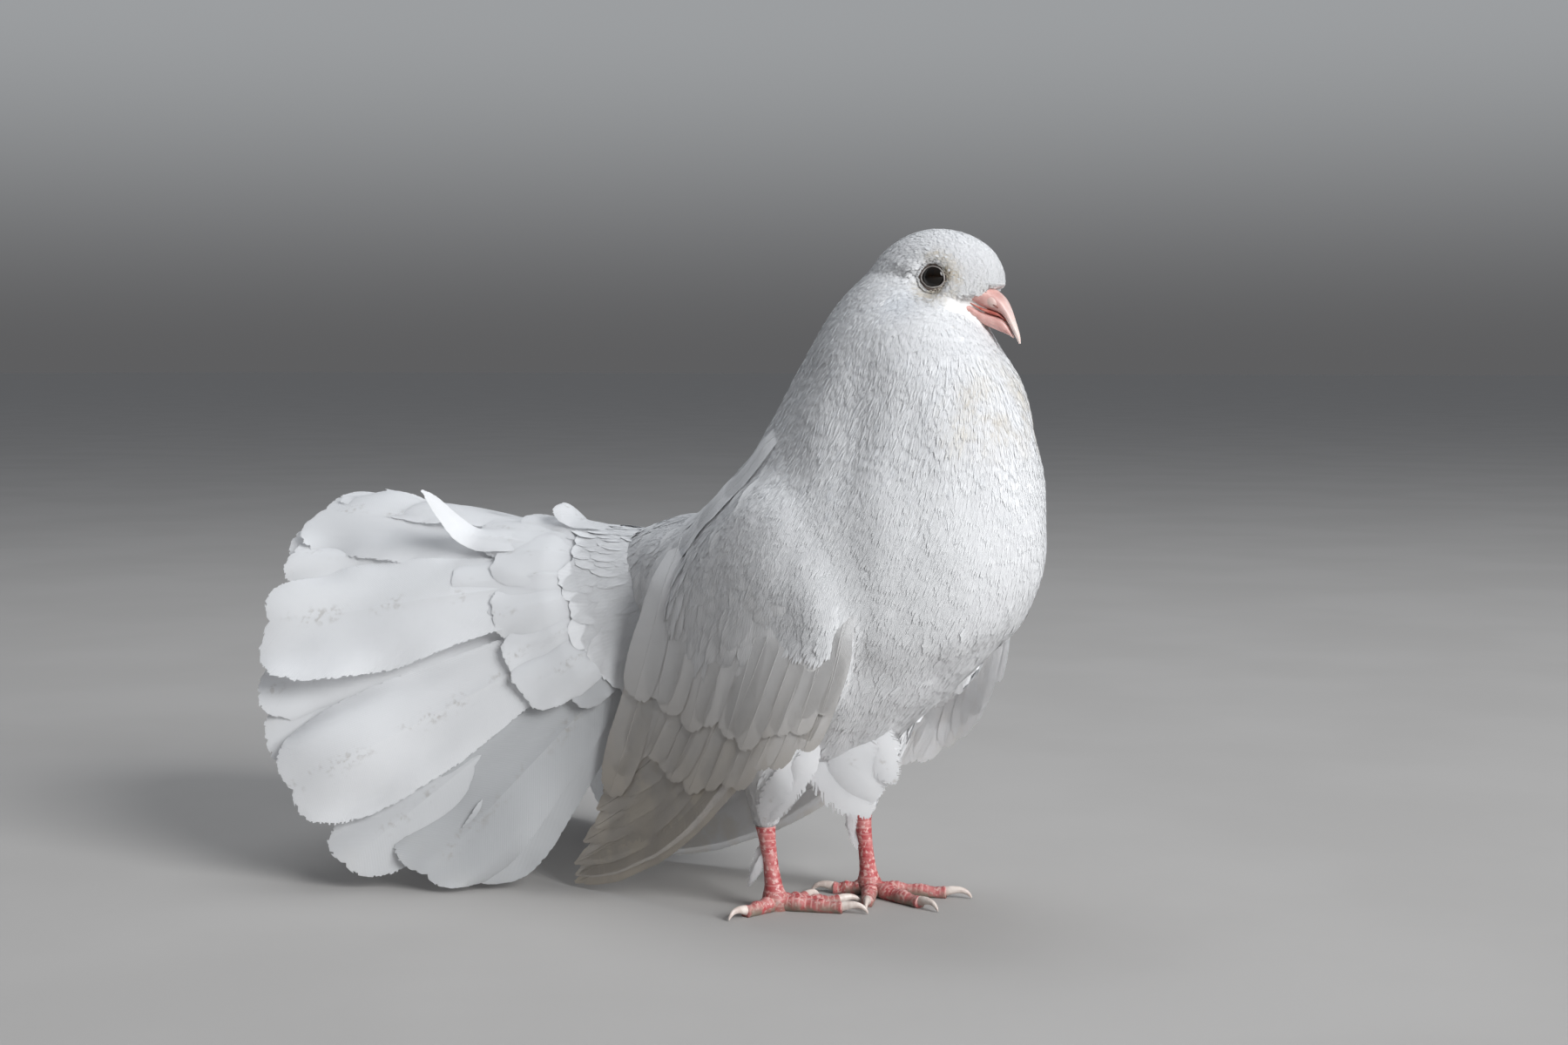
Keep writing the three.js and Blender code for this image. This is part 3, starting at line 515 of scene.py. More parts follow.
FEATHER = plumage_material("plumage", 30)
VANE = plumage_material("vane_plumage", 190, shade=SOIL_AND_SHADE)
COVERT = plumage_material("covert_plumage", 30, shade=SOIL_AND_SHADE)
FAN_VANE = plumage_material("fan_plumage", 190, 0.3, FAN_SHADE)
SKIN = surface_material("skin", (0.74, 0.73, 0.72), (0.80, 0.79, 0.78), 300, 0.8, 1500, 0.0002)
LID = surface_material("lid_skin", (0.34, 0.31, 0.29), (0.46, 0.43, 0.41), 600, 0.55, 2500, 0.0002)
RIM = surface_material("rim_skin", (0.11, 0.085, 0.072), (0.24, 0.19, 0.165), 700, 0.7, 2500, 0.0002)
CERE_SKIN = surface_material("cere", (0.62, 0.42, 0.38), (0.70, 0.53, 0.48), 420, 0.55, 1400, 0.0002)
NOSTRIL_SKIN = surface_material("nostril", (0.16, 0.05, 0.04), (0.24, 0.09, 0.07), 500, 0.6, 1400, 0.0001)
BILL = surface_material("bill_horn", (0.55, 0.29, 0.26), (0.68, 0.42, 0.38), 260, 0.4, 900, 0.0001,
                        (0.80, 0.68, 0.63), **{"Subsurface Weight": 0.15,
                                               "Subsurface Radius": (0.002, 0.0008, 0.0006)})
MOUTH = surface_material("mouth_lining", (0.42, 0.09, 0.07), (0.54, 0.18, 0.14), 400, 0.35, 900, 0.0002)
CLAW = surface_material("claw_horn", (0.58, 0.48, 0.43), (0.76, 0.68, 0.62), 380, 0.4, 1200, 0.0001)
EYE_DARK = surface_material("eye_dark", (0.004, 0.003, 0.002), (0.009, 0.005, 0.003), 500, 0.04, 500,
                            0.00001, **{"Specular IOR Level": 0.35})
LEG = leg_material()


# The skin

def body_rings(grow, count=70):
    shares = np.linspace(0, 1, count)
    return [ring(((back + front) / 2, 0, z + grow * (2 * t - 1)), X_AXIS, Y_AXIS,
                 max((front - back) / 2 + grow, 1), max(half + grow, 1), 72, BODY_POWER)
            for t, (z, back, front, half) in zip(shares, through(BODY_ROWS, shares))]


def rump_rings(grow):
    return [ring(TAIL_ROOT + TAIL_BACK * back, Y_AXIS, TAIL_UP, half + grow, high + grow, 40)
            for back, half, high in through(RUMP_ROWS, np.linspace(0, 1, 24))]


def wing_half(x, z):
    bulge = WING_BULGE * np.exp(-((x - WING_BULGE_X) / WING_BULGE_SPREAD) ** 2)
    return WING_TIP_HALF + bulge - WING_TOP_LEAN * np.maximum(0, z - WING_TOP_Z) ** 2


def mantle_rings(grow):
    """The broad back from one wing's upper edge to the other's."""
    return [ring(np.array([x, 0, z]) - MANTLE_OUT * (MANTLE_HIGH - 1.5), Y_AXIS, MANTLE_OUT,
                 wing_half(x, z) - 5 + grow, MANTLE_HIGH + grow, 44, 2.5)
            for x, z in through(MANTLE_LINE, np.linspace(0, 1, 26))]


def head_rings(grow):
    return [from_head(ring((x, 0, (low + high) / 2), Y_AXIS, Z_AXIS, max(half + grow, 0.5),
                           max((high - low) / 2 + grow, 0.5), 48, 2.1))
            for x, half, low, high in through(HEAD_ROWS, np.linspace(0, 1, 40))]


def thigh_rings(side, grow):
    thigh, ankle = ((*LEGS[side][key], z) for key, z in (("thigh", THIGH_Z), ("ankle", ANKLE_Z)))
    return [ring(np.array(thigh) * (1 - share) + np.array(ankle) * share, X_AXIS, Y_AXIS, long + grow,
                 wide + grow, 28)
            for share, long, wide in through(THIGH_ROWS, np.linspace(0, 1, 20))]


def wing_place(side, x, z, lift):
    """A place on the outside of a wing, lift over its bony part."""
    forward = np.clip((x - SWAY_X[0]) / (SWAY_X[1] - SWAY_X[0]), 0, 1)
    low = np.clip((z - SWAY_Z[0]) / (SWAY_Z[1] - SWAY_Z[0]), 0, 1)
    sway = LEFT_SWAY * forward * low if side == "left" else 0
    out = SIDES[side] * (wing_half(x, z) - WING_DEPTH + lift)
    return np.stack([x + sway, out, z], -1)


def wing_core(side):
    """The bony part under the feathers: a closed sheet from its outside in to the body."""
    u, v = np.meshgrid(np.linspace(0, 1, WING_ROWS + 1), np.linspace(0, 1, WING_COLUMNS + 1), indexing="ij")
    upper, lower = through(ARM_UPPER, u), through(ARM_LOWER, u)
    flat = upper + (lower - upper) * v[..., None]
    x, z = flat[..., 0], flat[..., 1]
    rim = np.minimum.reduce([u, 1 - u, v, 1 - v])
    high = np.clip((z - 84) / 66, 0, 1)
    outer = wing_place(side, x, z, 0.2 + 3.6 * high - 3.0 * (1 - smooth(rim, 0, 0.12)))
    inner = wing_place(side, x, z, np.full(x.shape, -13.0))
    index = np.arange(x.size).reshape(x.shape)
    edge = np.concatenate([index[0, :-1], index[:-1, -1], index[-1, :0:-1], index[:0:-1, 0]])
    after = np.roll(edge, -1)
    wall = np.stack([after, edge, edge + x.size, after + x.size], -1)
    quads = grid_quads(WING_ROWS, WING_COLUMNS)
    faces = np.concatenate([quads, quads[:, ::-1] + x.size, wall])
    if SIDES[side] < 0:
        faces = faces[:, ::-1]
    return outer, np.concatenate([outer.reshape(-1, 3), inner.reshape(-1, 3)]), faces


def remeshed(name, parts):
    """The outer surface of overlapping closed forms as one even mesh."""
    piece = bpy.data.objects.new(name, new_mesh(name, *joined(parts)))
    bpy.context.scene.collection.objects.link(piece)
    remesh = piece.modifiers.new("remesh", "REMESH")
    remesh.mode = "VOXEL"
    remesh.voxel_size = SKIN_VOXEL / 1000
    soften = piece.modifiers.new("soften", "SMOOTH")
    soften.factor = 0.6
    soften.iterations = 6
    bpy.context.view_layer.update()
    solid = bpy.data.meshes.new_from_object(piece.evaluated_get(bpy.context.evaluated_depsgraph_get()))
    bpy.data.objects.remove(piece)
    solid.name = name
    return solid


def mesh_arrays(mesh):
    """Points in the work frame, and triangles."""
    points = np.empty(len(mesh.vertices) * 3, np.float32)
    mesh.vertices.foreach_get("co", points)
    mesh.calc_loop_triangles()
    triangles = np.empty(len(mesh.loop_triangles) * 3, np.int32)
    mesh.loop_triangles.foreach_get("vertices", triangles)
    return points.reshape(-1, 3).astype(float) * 1000 - SHIFT, triangles.reshape(-1, 3)


def softened(points, mesh, weight, rounds):
    """Points drawn towards the mean of their neighbours, by weight."""
    ends = np.empty(len(mesh.edges) * 2, np.int32)
    mesh.edges.foreach_get("vertices", ends)
    first, second = ends.reshape(-1, 2).T
    here, there = np.concatenate([first, second]), np.concatenate([second, first])
    count = np.bincount(here, minlength=len(points))
    for _ in range(rounds):
        mean = np.stack([np.bincount(here, points[there, k], len(points)) for k in range(3)], -1)
        points = points + 0.6 * weight[:, None] * (mean / count[:, None] - points)
    return points


def point_normals(points, triangles):
    a, b, c = (points[triangles[:, k]] for k in range(3))
    cross = np.cross(b - a, c - a)
    total = np.stack([sum(np.bincount(triangles[:, k], cross[:, axis], len(points)) for k in range(3))
                      for axis in range(3)], -1)
    return unit(total)


def from_eye(local, ahead=0.0, up=0.0):
    """How far places in the head's frame lie from a spot by the eye, seen from the side."""
    return np.hypot(local[:, 0] - EYE[0] - ahead, local[:, 2] - EYE[2] - up)


def bill_zone(local, margin=0.0):
    """Where the bill is bare: between the feathers' edge above it and the chin's."""
    top = np.interp(local[:, 0], *FACE_EDGE.T) + margin
    low = np.interp(local[:, 0], *CHIN_EDGE.T) - margin
    return (local[:, 0] > 7.5 - margin) & (local[:, 2] < top) & (local[:, 2] > low)


def with_face(points):
    """The skin with hollows round the eyes, the fold and the ear behind them, and the bill's seat."""
    local = in_head(points)
    for side in (-1, 1):
        away = from_eye(local)
        limit = 12.6 + 2.8 * smooth(away, 4.2, 9.5)
        lateral = side * local[:, 1]
        near = (away < 13) & (lateral > limit)
        kept = limit + (lateral - limit) * smooth(away, 4.5, 12.5)
        local[near, 1] = side * kept[near]
        run = (local[:, 0] - CREASE[0][0]) / (CREASE[1][0] - CREASE[0][0])
        over = local[:, 2] - CREASE[0][1] - run * (CREASE[1][1] - CREASE[0][1])
        fold = smooth(run, -0.4, 0.1) * (1 - smooth(run, 0.6, 1.1))
        fold = fold * (side * local[:, 1] > FACE_SIDE)
        dent = 1.3 * np.exp(-((over + 0.6) / 1.3) ** 2) - 0.7 * np.exp(-((over - 2.2) / 2.0) ** 2)
        local[:, 1] -= side * fold * dent
        ear = np.exp(-((local[:, 0] - EAR[0]) / 6.5) ** 2 - ((local[:, 2] - EAR[1]) / 4.5) ** 2)
        local[:, 1] -= side * EAR_DEPTH * ear * (side * local[:, 1] > FACE_SIDE)
    bare = bill_zone(local)
    bill_half = np.interp(local[:, 0], BILL_TOP_ROWS[:, 2], BILL_TOP_ROWS[:, 4]) - 1.6
    spare = np.maximum(np.abs(local[:, 1]) - bill_half, 0) * smooth(local[:, 0], 7.5, 12.5)
    local[bare, 1] -= (np.sign(local[:, 1]) * spare)[bare]
    local[bare, 0] = np.minimum(local[bare, 0], 17.5)
    face = (np.abs(local[:, 0]) < 30) & (points[:, 2] > FACE_FROM)
    return np.where(face[:, None], from_head(local), points)


wing_cores = [wing_core(side) for side in SIDES]
skin_mesh = remeshed("skin", [loft(rings) for rings in (
    body_rings(-BODY_COAT), rump_rings(-RUMP_COAT), mantle_rings(-BODY_COAT), head_rings(-HEAD_COAT),
    thigh_rings("left", -THIGH_COAT), thigh_rings("right", -THIGH_COAT))]
    + [(points, [faces]) for _, points, faces in wing_cores])
skin_points, skin_triangles = mesh_arrays(skin_mesh)

# The wings' front and upper edges are filled in, so that the coat runs over them.
seam = tree_of([spot for outer, _, _ in wing_cores for line in (outer[0], outer[:, 0]) for spot in line])
from_seam = np.array([seam.find(spot)[2] for spot in skin_points])
skin_points = softened(skin_points, skin_mesh, np.exp(-(from_seam / SEAM_REACH) ** 2), 90)

# Soft unevenness of the plumage.
skin_normals = point_normals(skin_points, skin_triangles)
lumps = np.array([cloud.noise(Vector(spot * LUMP_SCALE)) for spot in skin_points])
on_trunk = smooth(skin_points[:, 2], 40, 70) * (1 - smooth(skin_points[:, 2], 190, 210))
skin_points = with_face(skin_points + skin_normals * (LUMP_HEIGHT * lumps * on_trunk)[:, None])
skin_mesh.vertices.foreach_set("co", to_frame(skin_points).astype(np.float32).ravel())
skin_mesh.update()
skin_mesh.polygons.foreach_set("use_smooth", np.ones(len(skin_mesh.polygons), bool))
new_piece("skin", skin_mesh, SKIN,
          ("head", "neck", "torso", "wing_left", "wing_right", "thigh_left", "thigh_right"))
skin_surface = surface_of(skin_points, skin_triangles)


# Small feathers

def spread(points, triangles, spacing, rng, density=9.0):
    """Places on a surface at least spacing(place) apart, in random order, with their normals."""
    a, b, c = (points[triangles[:, k]] for k in range(3))
    cross = np.cross(b - a, c - a)
    weight = np.linalg.norm(cross, axis=1) / 2 / spacing((a + b + c) / 3) ** 2
    total = int(weight.sum() * density / 3)
    pick = rng.choice(len(triangles), total, p=weight / weight.sum())
    u, v = rng.random((2, total))
    flip = u + v > 1
    u[flip], v[flip] = 1 - u[flip], 1 - v[flip]
    spots = a[pick] + (b - a)[pick] * u[:, None] + (c - a)[pick] * v[:, None]
    gaps = spacing(spots)
    tree = tree_of(spots)
    taken = bytearray(total)
    kept = []
    for k in range(total):
        if taken[k]:
            continue
        kept.append(k)
        for _, other, _ in tree.find_range(spots[k], gaps[k]):
            taken[other] = 1
    return spots[kept], unit(cross[pick[kept]])


def scattered(spacing, wanted, rng):
    """The places on the skin that a test keeps, with their normals."""
    if not callable(spacing):
        spacing = constant(spacing)
    spots, outs = spread(skin_points, skin_triangles, spacing, rng)
    kept = wanted(spots)
    return spots[kept], outs[kept]


def constant(gap):
    return lambda points: np.full(len(points), gap)


# The shape of a small feather: across, along and rise of each point, and triangles.

def strand_feather(rng, strands):
    """A loose feather of strands that fan from its root."""
    spots, triangles = [], []
    for place in np.linspace(-1, 1, strands):
        base = 0.22 * abs(place) * rng.uniform(0.5, 1.2)
        tip = 1 - 0.26 * abs(place) ** 1.6 + rng.uniform(-0.12, 0.06)
        rise = rng.uniform(-1, 1)
        bow = rng.uniform(-0.06, 0.06)
        half = 1.5 / strands
        start = len(spots)
        for t, wide in ((0, 0.7), (0.42, 1.0), (0.8, 0.72)):
            along = base + (tip - base) * t
            middle = place * (0.3 + 0.7 * smooth(along, 0, 0.55)) + bow * t
            spots += [(middle - wide * half, along, rise * t), (middle + wide * half, along, rise * t)]
        spots.append((place * (1 - 0.1 * abs(place)) + bow * 2, tip, rise))
        triangles += [(start + a, start + b, start + c)
                      for a, b, c in ((0, 1, 3), (0, 3, 2), (2, 3, 5), (2, 5, 4), (4, 5, 6))]
    return np.array(spots), np.array(triangles)


def streak_feather(rng):
    """A narrow pointed feather with a crest."""
    spots, triangles = [], []
    bow = rng.uniform(-0.5, 0.5)
    stations = ((0, 0.5), (0.35, 0.95), (0.65, 0.9), (0.86, 0.55))
    for t, wide in stations:
        spots += [(bow * t * t - wide, t, -1), (bow * t * t, t, 1), (bow * t * t + wide, t, -1)]
    spots.append((bow, 1, 0))
    for k in range(len(stations) - 1):
        for j in (3 * k, 3 * k + 1):
            triangles += [(j, j + 1, j + 4), (j, j + 4, j + 3)]
    last = 3 * (len(stations) - 1)
    triangles += [(last, last + 1, last + 3), (last + 1, last + 2, last + 3)]
    return np.array(spots), np.array(triangles)


def lobe_feather(rng, columns=10):
    """A rounded feather with a finely frayed tip."""
    share = np.linspace(-1, 1, columns + 1)
    tip = 0.62 + 0.38 * np.sqrt(1 - 0.98 * share ** 2)
    spots = []
    for t in (0, 0.35, 0.7, 1.0):
        along = t * tip + (rng.uniform(-0.035, 0.035, columns + 1) if t == 1 else 0)
        across = share * (0.4 + 0.6 * smooth(t, 0, 0.6))
        spots.append(np.stack([across, along, rng.uniform(-0.3, 0.3, columns + 1) * t], -1))
    return np.concatenate(spots), grid_triangles(3, columns)


def shapes_of(kind, seed, *settings):
    return [kind(np.random.default_rng(SEED + seed + k), *settings) for k in range(8)]


soft_shapes = shapes_of(strand_feather, 0, 7)
streak_shapes = shapes_of(streak_feather, 20)
lobe_shapes = shapes_of(lobe_feather, 30)
fine_shapes = shapes_of(strand_feather, 40, 5)


def body_bake(points):
    """Where a place on the body lies on the unwrap: round it, and up its height."""
    turn = np.arctan2(points[:, 1], points[:, 0] - 20) / (2 * np.pi) + 0.5
    return np.stack([turn * 0.99, np.clip((points[:, 2] - 20) / 235, 0, 0.99)], -1)


def add_tufts(batch, surface, roots, normals, dirs, length, width, lift, shapes, rng,
              tone=0.0, stain=0.0, sink=0.2, camber=0.05, relief=0.1):
    """Feathers laid over a surface: each runs from its root to a tip that is lifted off it."""
    dirs = unit(dirs - normals * (dirs * normals).sum(1, keepdims=True))
    mids, tips = np.empty_like(roots), np.empty_like(roots)
    tip_normals = normals.copy()
    for k in range(len(roots)):
        for share, store in ((0.5, mids), (1.0, tips)):
            spot = roots[k] + dirs[k] * length[k] * share
            place, normal, _, _ = surface.find_nearest(spot)
            outward = np.array(normal)
            if outward @ normals[k] < 0:
                outward = -outward
            store[k] = np.array(place) + outward * lift[k] * (0.72 if share < 1 else 1.0)
            if share == 1.0:
                tip_normals[k] = outward
    roots = roots - normals * sink
    control = 2 * mids - (roots + tips) / 2
    kinds = rng.integers(0, len(shapes), len(roots))
    for kind, (shape, triangles) in enumerate(shapes):
        mine = np.flatnonzero(kinds == kind)
        if not len(mine):
            continue
        across, along = shape[:, 0][None, :, None], shape[:, 1][None, :, None]
        r, c, p = (value[mine][:, None] for value in (roots, control, tips))
        middle = r * (1 - along) ** 2 + 2 * c * along * (1 - along) + p * along ** 2
        normal = unit(normals[mine][:, None] * (1 - along) + tip_normals[mine][:, None] * along)
        side = unit(np.cross(normal, dirs[mine][:, None]))
        half = width[mine][:, None, None] / 2
        rise = relief * shape[:, 2][None, :, None] - camber * half * across ** 2
        points = middle + side * half * across + normal * rise
        count = len(shape)
        faces = (triangles[None] + (np.arange(len(mine)) * count)[:, None, None]).reshape(-1, 3)
        patch = body_bake(roots[mine])[:, None] + PATCH * np.stack([shape[:, 0], shape[:, 1] * 2 - 1], -1)
        vane = np.broadcast_to(shape[:, :2], (len(mine), count, 2))
        values = [np.repeat(np.broadcast_to(v, len(roots))[mine], count) for v in (tone, stain)]
        batch.add(points.reshape(-1, 3), [faces], patch.reshape(-1, 2), vane.reshape(-1, 2), *values)


def lie(points):
    """The way the feathers lie: back from the bill over the head, then down and back."""
    local = in_head(points)
    from_bill = unit(local - BILL_ROOT) @ HEAD_TURN.T
    on_head = smooth(points[:, 2], 203, 222)[:, None]
    ahead = smooth(local[:, 0], -24, 6)[:, None]
    head = from_bill * ahead + NECK_WAY * (1 - ahead)
    body = NECK_WAY + (TRUNK_WAY - NECK_WAY) * (1 - smooth(points[:, 2], 130, 185))[:, None]
    rump = smooth(-points[:, 0], 35, 60)[:, None] * smooth(points[:, 2], 70, 90)[:, None]
    body = body * (1 - rump) + TAIL_BACK * rump
    thigh = (1 - smooth(points[:, 2], 48, 62))[:, None]
    body = body * (1 - thigh) + THIGH_WAY * thigh
    return unit(head * on_head + body * (1 - on_head))


def outside_wing(points):
    return (np.abs(points[:, 1]) > wing_half(points[:, 0], points[:, 2]) - 11) & (points[:, 2] > 60)


def on_wing(points, inset):
    """Which places lie on the outside of a wing, more than inset behind its front edge."""
    front = np.interp(points[:, 2], (113, 158), (37, 4)) - inset
    back = np.interp(points[:, 2], (90, 158), (-66, 2))
    return outside_wing(points) & (points[:, 0] < front) & (points[:, 0] > back)


def wing_zone(points):
    """Which places lie on the outside of a wing, under its vanes."""
    covert_line = 103 + 12 * smooth(-points[:, 0], 0, 45)
    inside = (points[:, 0] > -64) & (points[:, 0] < 36) & (points[:, 2] < covert_line)
    return outside_wing(points) & inside


def feather_length(points):
    near_bill = np.linalg.norm(in_head(points) - BILL_ROOT, axis=1)
    head = 1.7 + 2.4 * smooth(near_bill, 4, 34)
    neck = 5.6 + 3.4 * (1 - smooth(points[:, 2], 160, 205))
    body = 8.0 + 3.0 * (1 - smooth(points[:, 2], 90, 150))
    low = neck + (body - neck) * (1 - smooth(points[:, 2], 150, 178))
    length = low + (head - low) * smooth(points[:, 2], 206, 220)
    thigh = 1 - smooth(points[:, 2], 34, 60)
    return length * (1 - thigh) + 5.0 * thigh


def streak_zone(points):
    """Where the long narrow feathers lie: 1 on the neck."""
    face = smooth(in_head(points)[:, 0], -14, -4) * smooth(points[:, 2], 199, 207)
    return smooth(points[:, 2], 110, 172) * (1 - face) * (1 - smooth(points[:, 2], 222, 232))


def coat_zone(points):
    """Where the coat lies: not on the eyes, the bare bill, the fan's root or under the wings' vanes."""
    local = in_head(points)
    beside = (np.abs(local[:, 1]) > FACE_SIDE) & (points[:, 2] > FACE_FROM)
    in_eye = beside & (from_eye(local) < 4.8)
    on_bill = (points[:, 2] > FACE_FROM) & bill_zone(local, 0.2)
    in_fan = ((points - TAIL_ROOT) @ TAIL_BACK > 8) & (points[:, 2] < 140)
    return ~in_eye & ~on_bill & ~in_fan & ~wing_zone(points)


def head_zone(points):
    """Where the fine feathers of the crown and cheeks lie, clear of the eyes and the bill."""
    local = in_head(points)
    clear = (np.abs(local[:, 1]) < FACE_SIDE) | (from_eye(local) > 6.5)
    return clear & (points[:, 2] > FACE_FROM) & ~bill_zone(local, 1.0)


def painted_cheek_shade(points):
    """Painted shade: greys the feathers in the hollow behind and under the eye."""
    local = in_head(points)
    near = np.exp(-((local[:, 0] - EAR[0]) / 8.0) ** 2 - ((local[:, 2] - EAR[1]) / 5.0) ** 2)
    return near * (np.abs(local[:, 1]) > 5) * (points[:, 2] > FACE_FROM)


def coat_stain(points):
    """Cream and brown round the eyes, before the bill and down the front of the neck."""
    local = in_head(points)
    eye_ring = np.exp(-((from_eye(local, 2.5, -0.5) - 6) / 3.0) ** 2)
    eye_ring *= (np.abs(local[:, 1]) > 5) & (points[:, 2] > 205)
    lores = np.exp(-(np.linalg.norm(local - np.array([15.0, 0, -5]), axis=1) / 9) ** 2)
    front_neck = np.exp(-(((points[:, 2] - 186) / 16) ** 2)) * smooth(points[:, 0], 58, 72) * 0.35
    return np.clip(0.55 * eye_ring + 0.3 * lores + front_neck, 0, 1)


def streak_stain(points):
    """The cream tint down the front of the neck."""
    return 0.4 * np.exp(-(((points[:, 2] - 184) / 18) ** 2)) * smooth(points[:, 0], 55, 70)


def flow(points):
    """Slow drifts of the way the neck's feathers lie."""
    return 0.3 * np.array([cloud.noise_vector(Vector(spot / 9)) for spot in points])


def build_coat():
    rng = np.random.default_rng(SEED)
    roots, normals = scattered(lambda p: feather_length(p) * 0.185 + 0.1, coat_zone, rng)
    height = roots[:, 2]
    loose = smooth(height, 150, 180) * (1 - smooth(height, 206, 214))
    way = unit(lie(roots) + rng.normal(0, 1, roots.shape) * (0.05 + 0.07 * loose)[:, None])
    length = feather_length(roots) * rng.uniform(0.8, 1.2, len(roots))
    width = length * (0.62 - 0.1 * loose)
    lift = (0.16 + 0.012 * length) * rng.uniform(0.5, 1.5, len(roots))
    tone = rng.uniform(0, 1, len(roots)) ** 2 * 0.06 + painted_cheek_shade(roots)
    stain = coat_stain(roots) * rng.uniform(0.5, 1, len(roots))
    trunk = (height <= NECK_FROM) & (height > LEGS_TO)
    regions = {
        "coat_head": height > HEAD_FROM,
        "coat_neck": (height <= HEAD_FROM) & (height > NECK_FROM),
        "coat_breast": trunk & (roots[:, 0] > BREAST_FROM),
        "coat_back": trunk & (roots[:, 0] <= BREAST_FROM),
        "coat_legs": height <= LEGS_TO,
    }
    for name, inside in regions.items():
        order = np.flatnonzero(inside)
        order = order[np.argsort(-height[order], kind="stable")]
        parts = math.ceil(len(order) / PIECE_FEATHERS)
        for number, mine in enumerate(np.array_split(order, parts)):
            batch = Batch()
            add_tufts(batch, skin_surface, roots[mine], normals[mine], way[mine], length[mine],
                      width[mine], lift[mine], soft_shapes, rng, tone[mine], stain[mine])
            batch.piece(f"{name}_{number}", FEATHER)


# Layers of the neck's feathers: gap, length, width, least and most lift, relief, shapes.
NECK_LAYERS = [
    (1.9, 6.5, 1.9, 0.15, 0.5, 0.17, soft_shapes),
    (1.8, 7.0, 0.75, 0.25, 0.6, 0.05, streak_shapes),
]


def build_streaks():
    """Feathers in loose tufts over the coat: long and narrow on the neck, fine on the head."""
    rng = np.random.default_rng(SEED + 33)
    batch = Batch()
    for gap, long, wide, low, high, relief, shapes in NECK_LAYERS:
        spots, outs = scattered(
            lambda p: gap + 4 * (1 - streak_zone(p)),
            lambda p: (rng.random(len(p)) < 1.5 * streak_zone(p)) & ~on_wing(p, 8), rng)
        way = unit(lie(spots) + flow(spots) + rng.normal(0, 0.08, spots.shape))
        size = rng.uniform(0.7, 1.3, len(spots)) * (0.6 + 0.4 * (1 - smooth(spots[:, 2], 195, 215)))
        lift = rng.uniform(low, high, len(spots)) * (0.35 + 0.65 * streak_zone(spots))
        # Random streaks are greyed, up to half way, as painted shade for the shadows between them.
        add_tufts(batch, skin_surface, spots, outs, way, long * size, wide * size, lift, shapes, rng,
                  0.5 * rng.random(len(spots)) ** 2, streak_stain(spots) * rng.uniform(0.4, 1, len(spots)),
                  sink=0.3, camber=0.0, relief=relief)
    batch.piece("coat_streaks", FEATHER)
    batch = Batch()
    spots, outs = scattered(HEAD_GAP, head_zone, rng)
    way = unit(lie(spots) + rng.normal(0, 0.16, spots.shape))
    near_bill = np.linalg.norm(in_head(spots) - BILL_ROOT, axis=1)
    size = rng.uniform(0.75, 1.25, len(spots)) * (0.5 + 0.5 * smooth(near_bill, 6, 28))
    long = HEAD_LONG * size * (1 + 0.8 * smooth(near_bill, 20, 40))
    add_tufts(batch, skin_surface, spots, outs, way, long, HEAD_WIDE * size,
              rng.uniform(0.15, 0.45, len(spots)) * size, fine_shapes, rng,
              0.35 * rng.random(len(spots)) ** 2 + painted_cheek_shade(spots), camber=0.0)
    batch.piece("coat_face", FEATHER)


def build_lashes():
    """Short brown-grey bristles round the eyes, longest in front."""
    rng = np.random.default_rng(SEED + 35)
    batch = Batch()
    for side in SIDES.values():
        turn = rng.uniform(0, 2 * np.pi, LASHES)
        ahead = np.maximum(np.cos(turn + 0.5), 0)
        radius = 4.9 + rng.uniform(-0.3, 0.8, LASHES) * (0.5 + ahead)
        flat = np.stack([np.cos(turn), np.zeros(LASHES), np.sin(turn) * 0.94], -1)
        place = from_head(EYE * np.array([1, side, 1]) + flat * radius[:, None] + Y_AXIS * side * 3)
        found = [skin_surface.find_nearest(spot) for spot in place]
        spots, outs = (np.array([tuple(hit[k]) for hit in found]) for k in (0, 1))
        way = unit(0.5 * flat @ HEAD_TURN.T + lie(spots) + rng.normal(0, 0.2, spots.shape))
        add_tufts(batch, skin_surface, spots, outs, way, 1.3 + 0.9 * ahead * rng.random(LASHES),
                  np.full(LASHES, 0.45), rng.uniform(0.5, 1.0, LASHES), streak_shapes, rng,
                  0.3, (0.35 + 0.65 * ahead) * rng.uniform(0.5, 1, LASHES), sink=0.1, camber=0.0,
                  relief=0.04)
    batch.piece("coat_lashes", FEATHER)


build_coat()
build_streaks()
build_lashes()


# Long vanes. An outline gives half the width at shares of the length.

FAN_OUTLINE = ([0, 0.1, 0.3, 0.5, 0.66, 0.77, 0.86, 0.93, 0.975, 1],
               [0.12, 0.25, 0.62, 0.9, 1, 0.97, 0.84, 0.6, 0.34, 0.08])
LONG_OUTLINE = ([0, 0.1, 0.35, 0.7, 0.84, 0.92, 0.97, 1], [0.3, 0.5, 0.9, 1.0, 0.88, 0.64, 0.38, 0.1])
PRIMARY_OUTLINE = ([0, 0.1, 0.35, 0.6, 0.8, 0.92, 1], [0.3, 0.5, 0.9, 1.0, 0.76, 0.42, 0.06])
COVERT_OUTLINE = ([0, 0.12, 0.35, 0.58, 0.74, 0.85, 0.93, 1], [0.3, 0.5, 0.84, 1, 0.95, 0.76, 0.5, 0.08])
ROUND_OUTLINE = ([0, 0.12, 0.35, 0.62, 0.8, 0.91, 1], [0.2, 0.5, 0.85, 1, 0.85, 0.55, 0.1])
PLUME_OUTLINE = ([0, 0.15, 0.4, 0.65, 0.85, 1], [0.5, 0.9, 1, 0.78, 0.42, 0.05])
VANE_START = 0.06
SHAFT_ROWS = 26


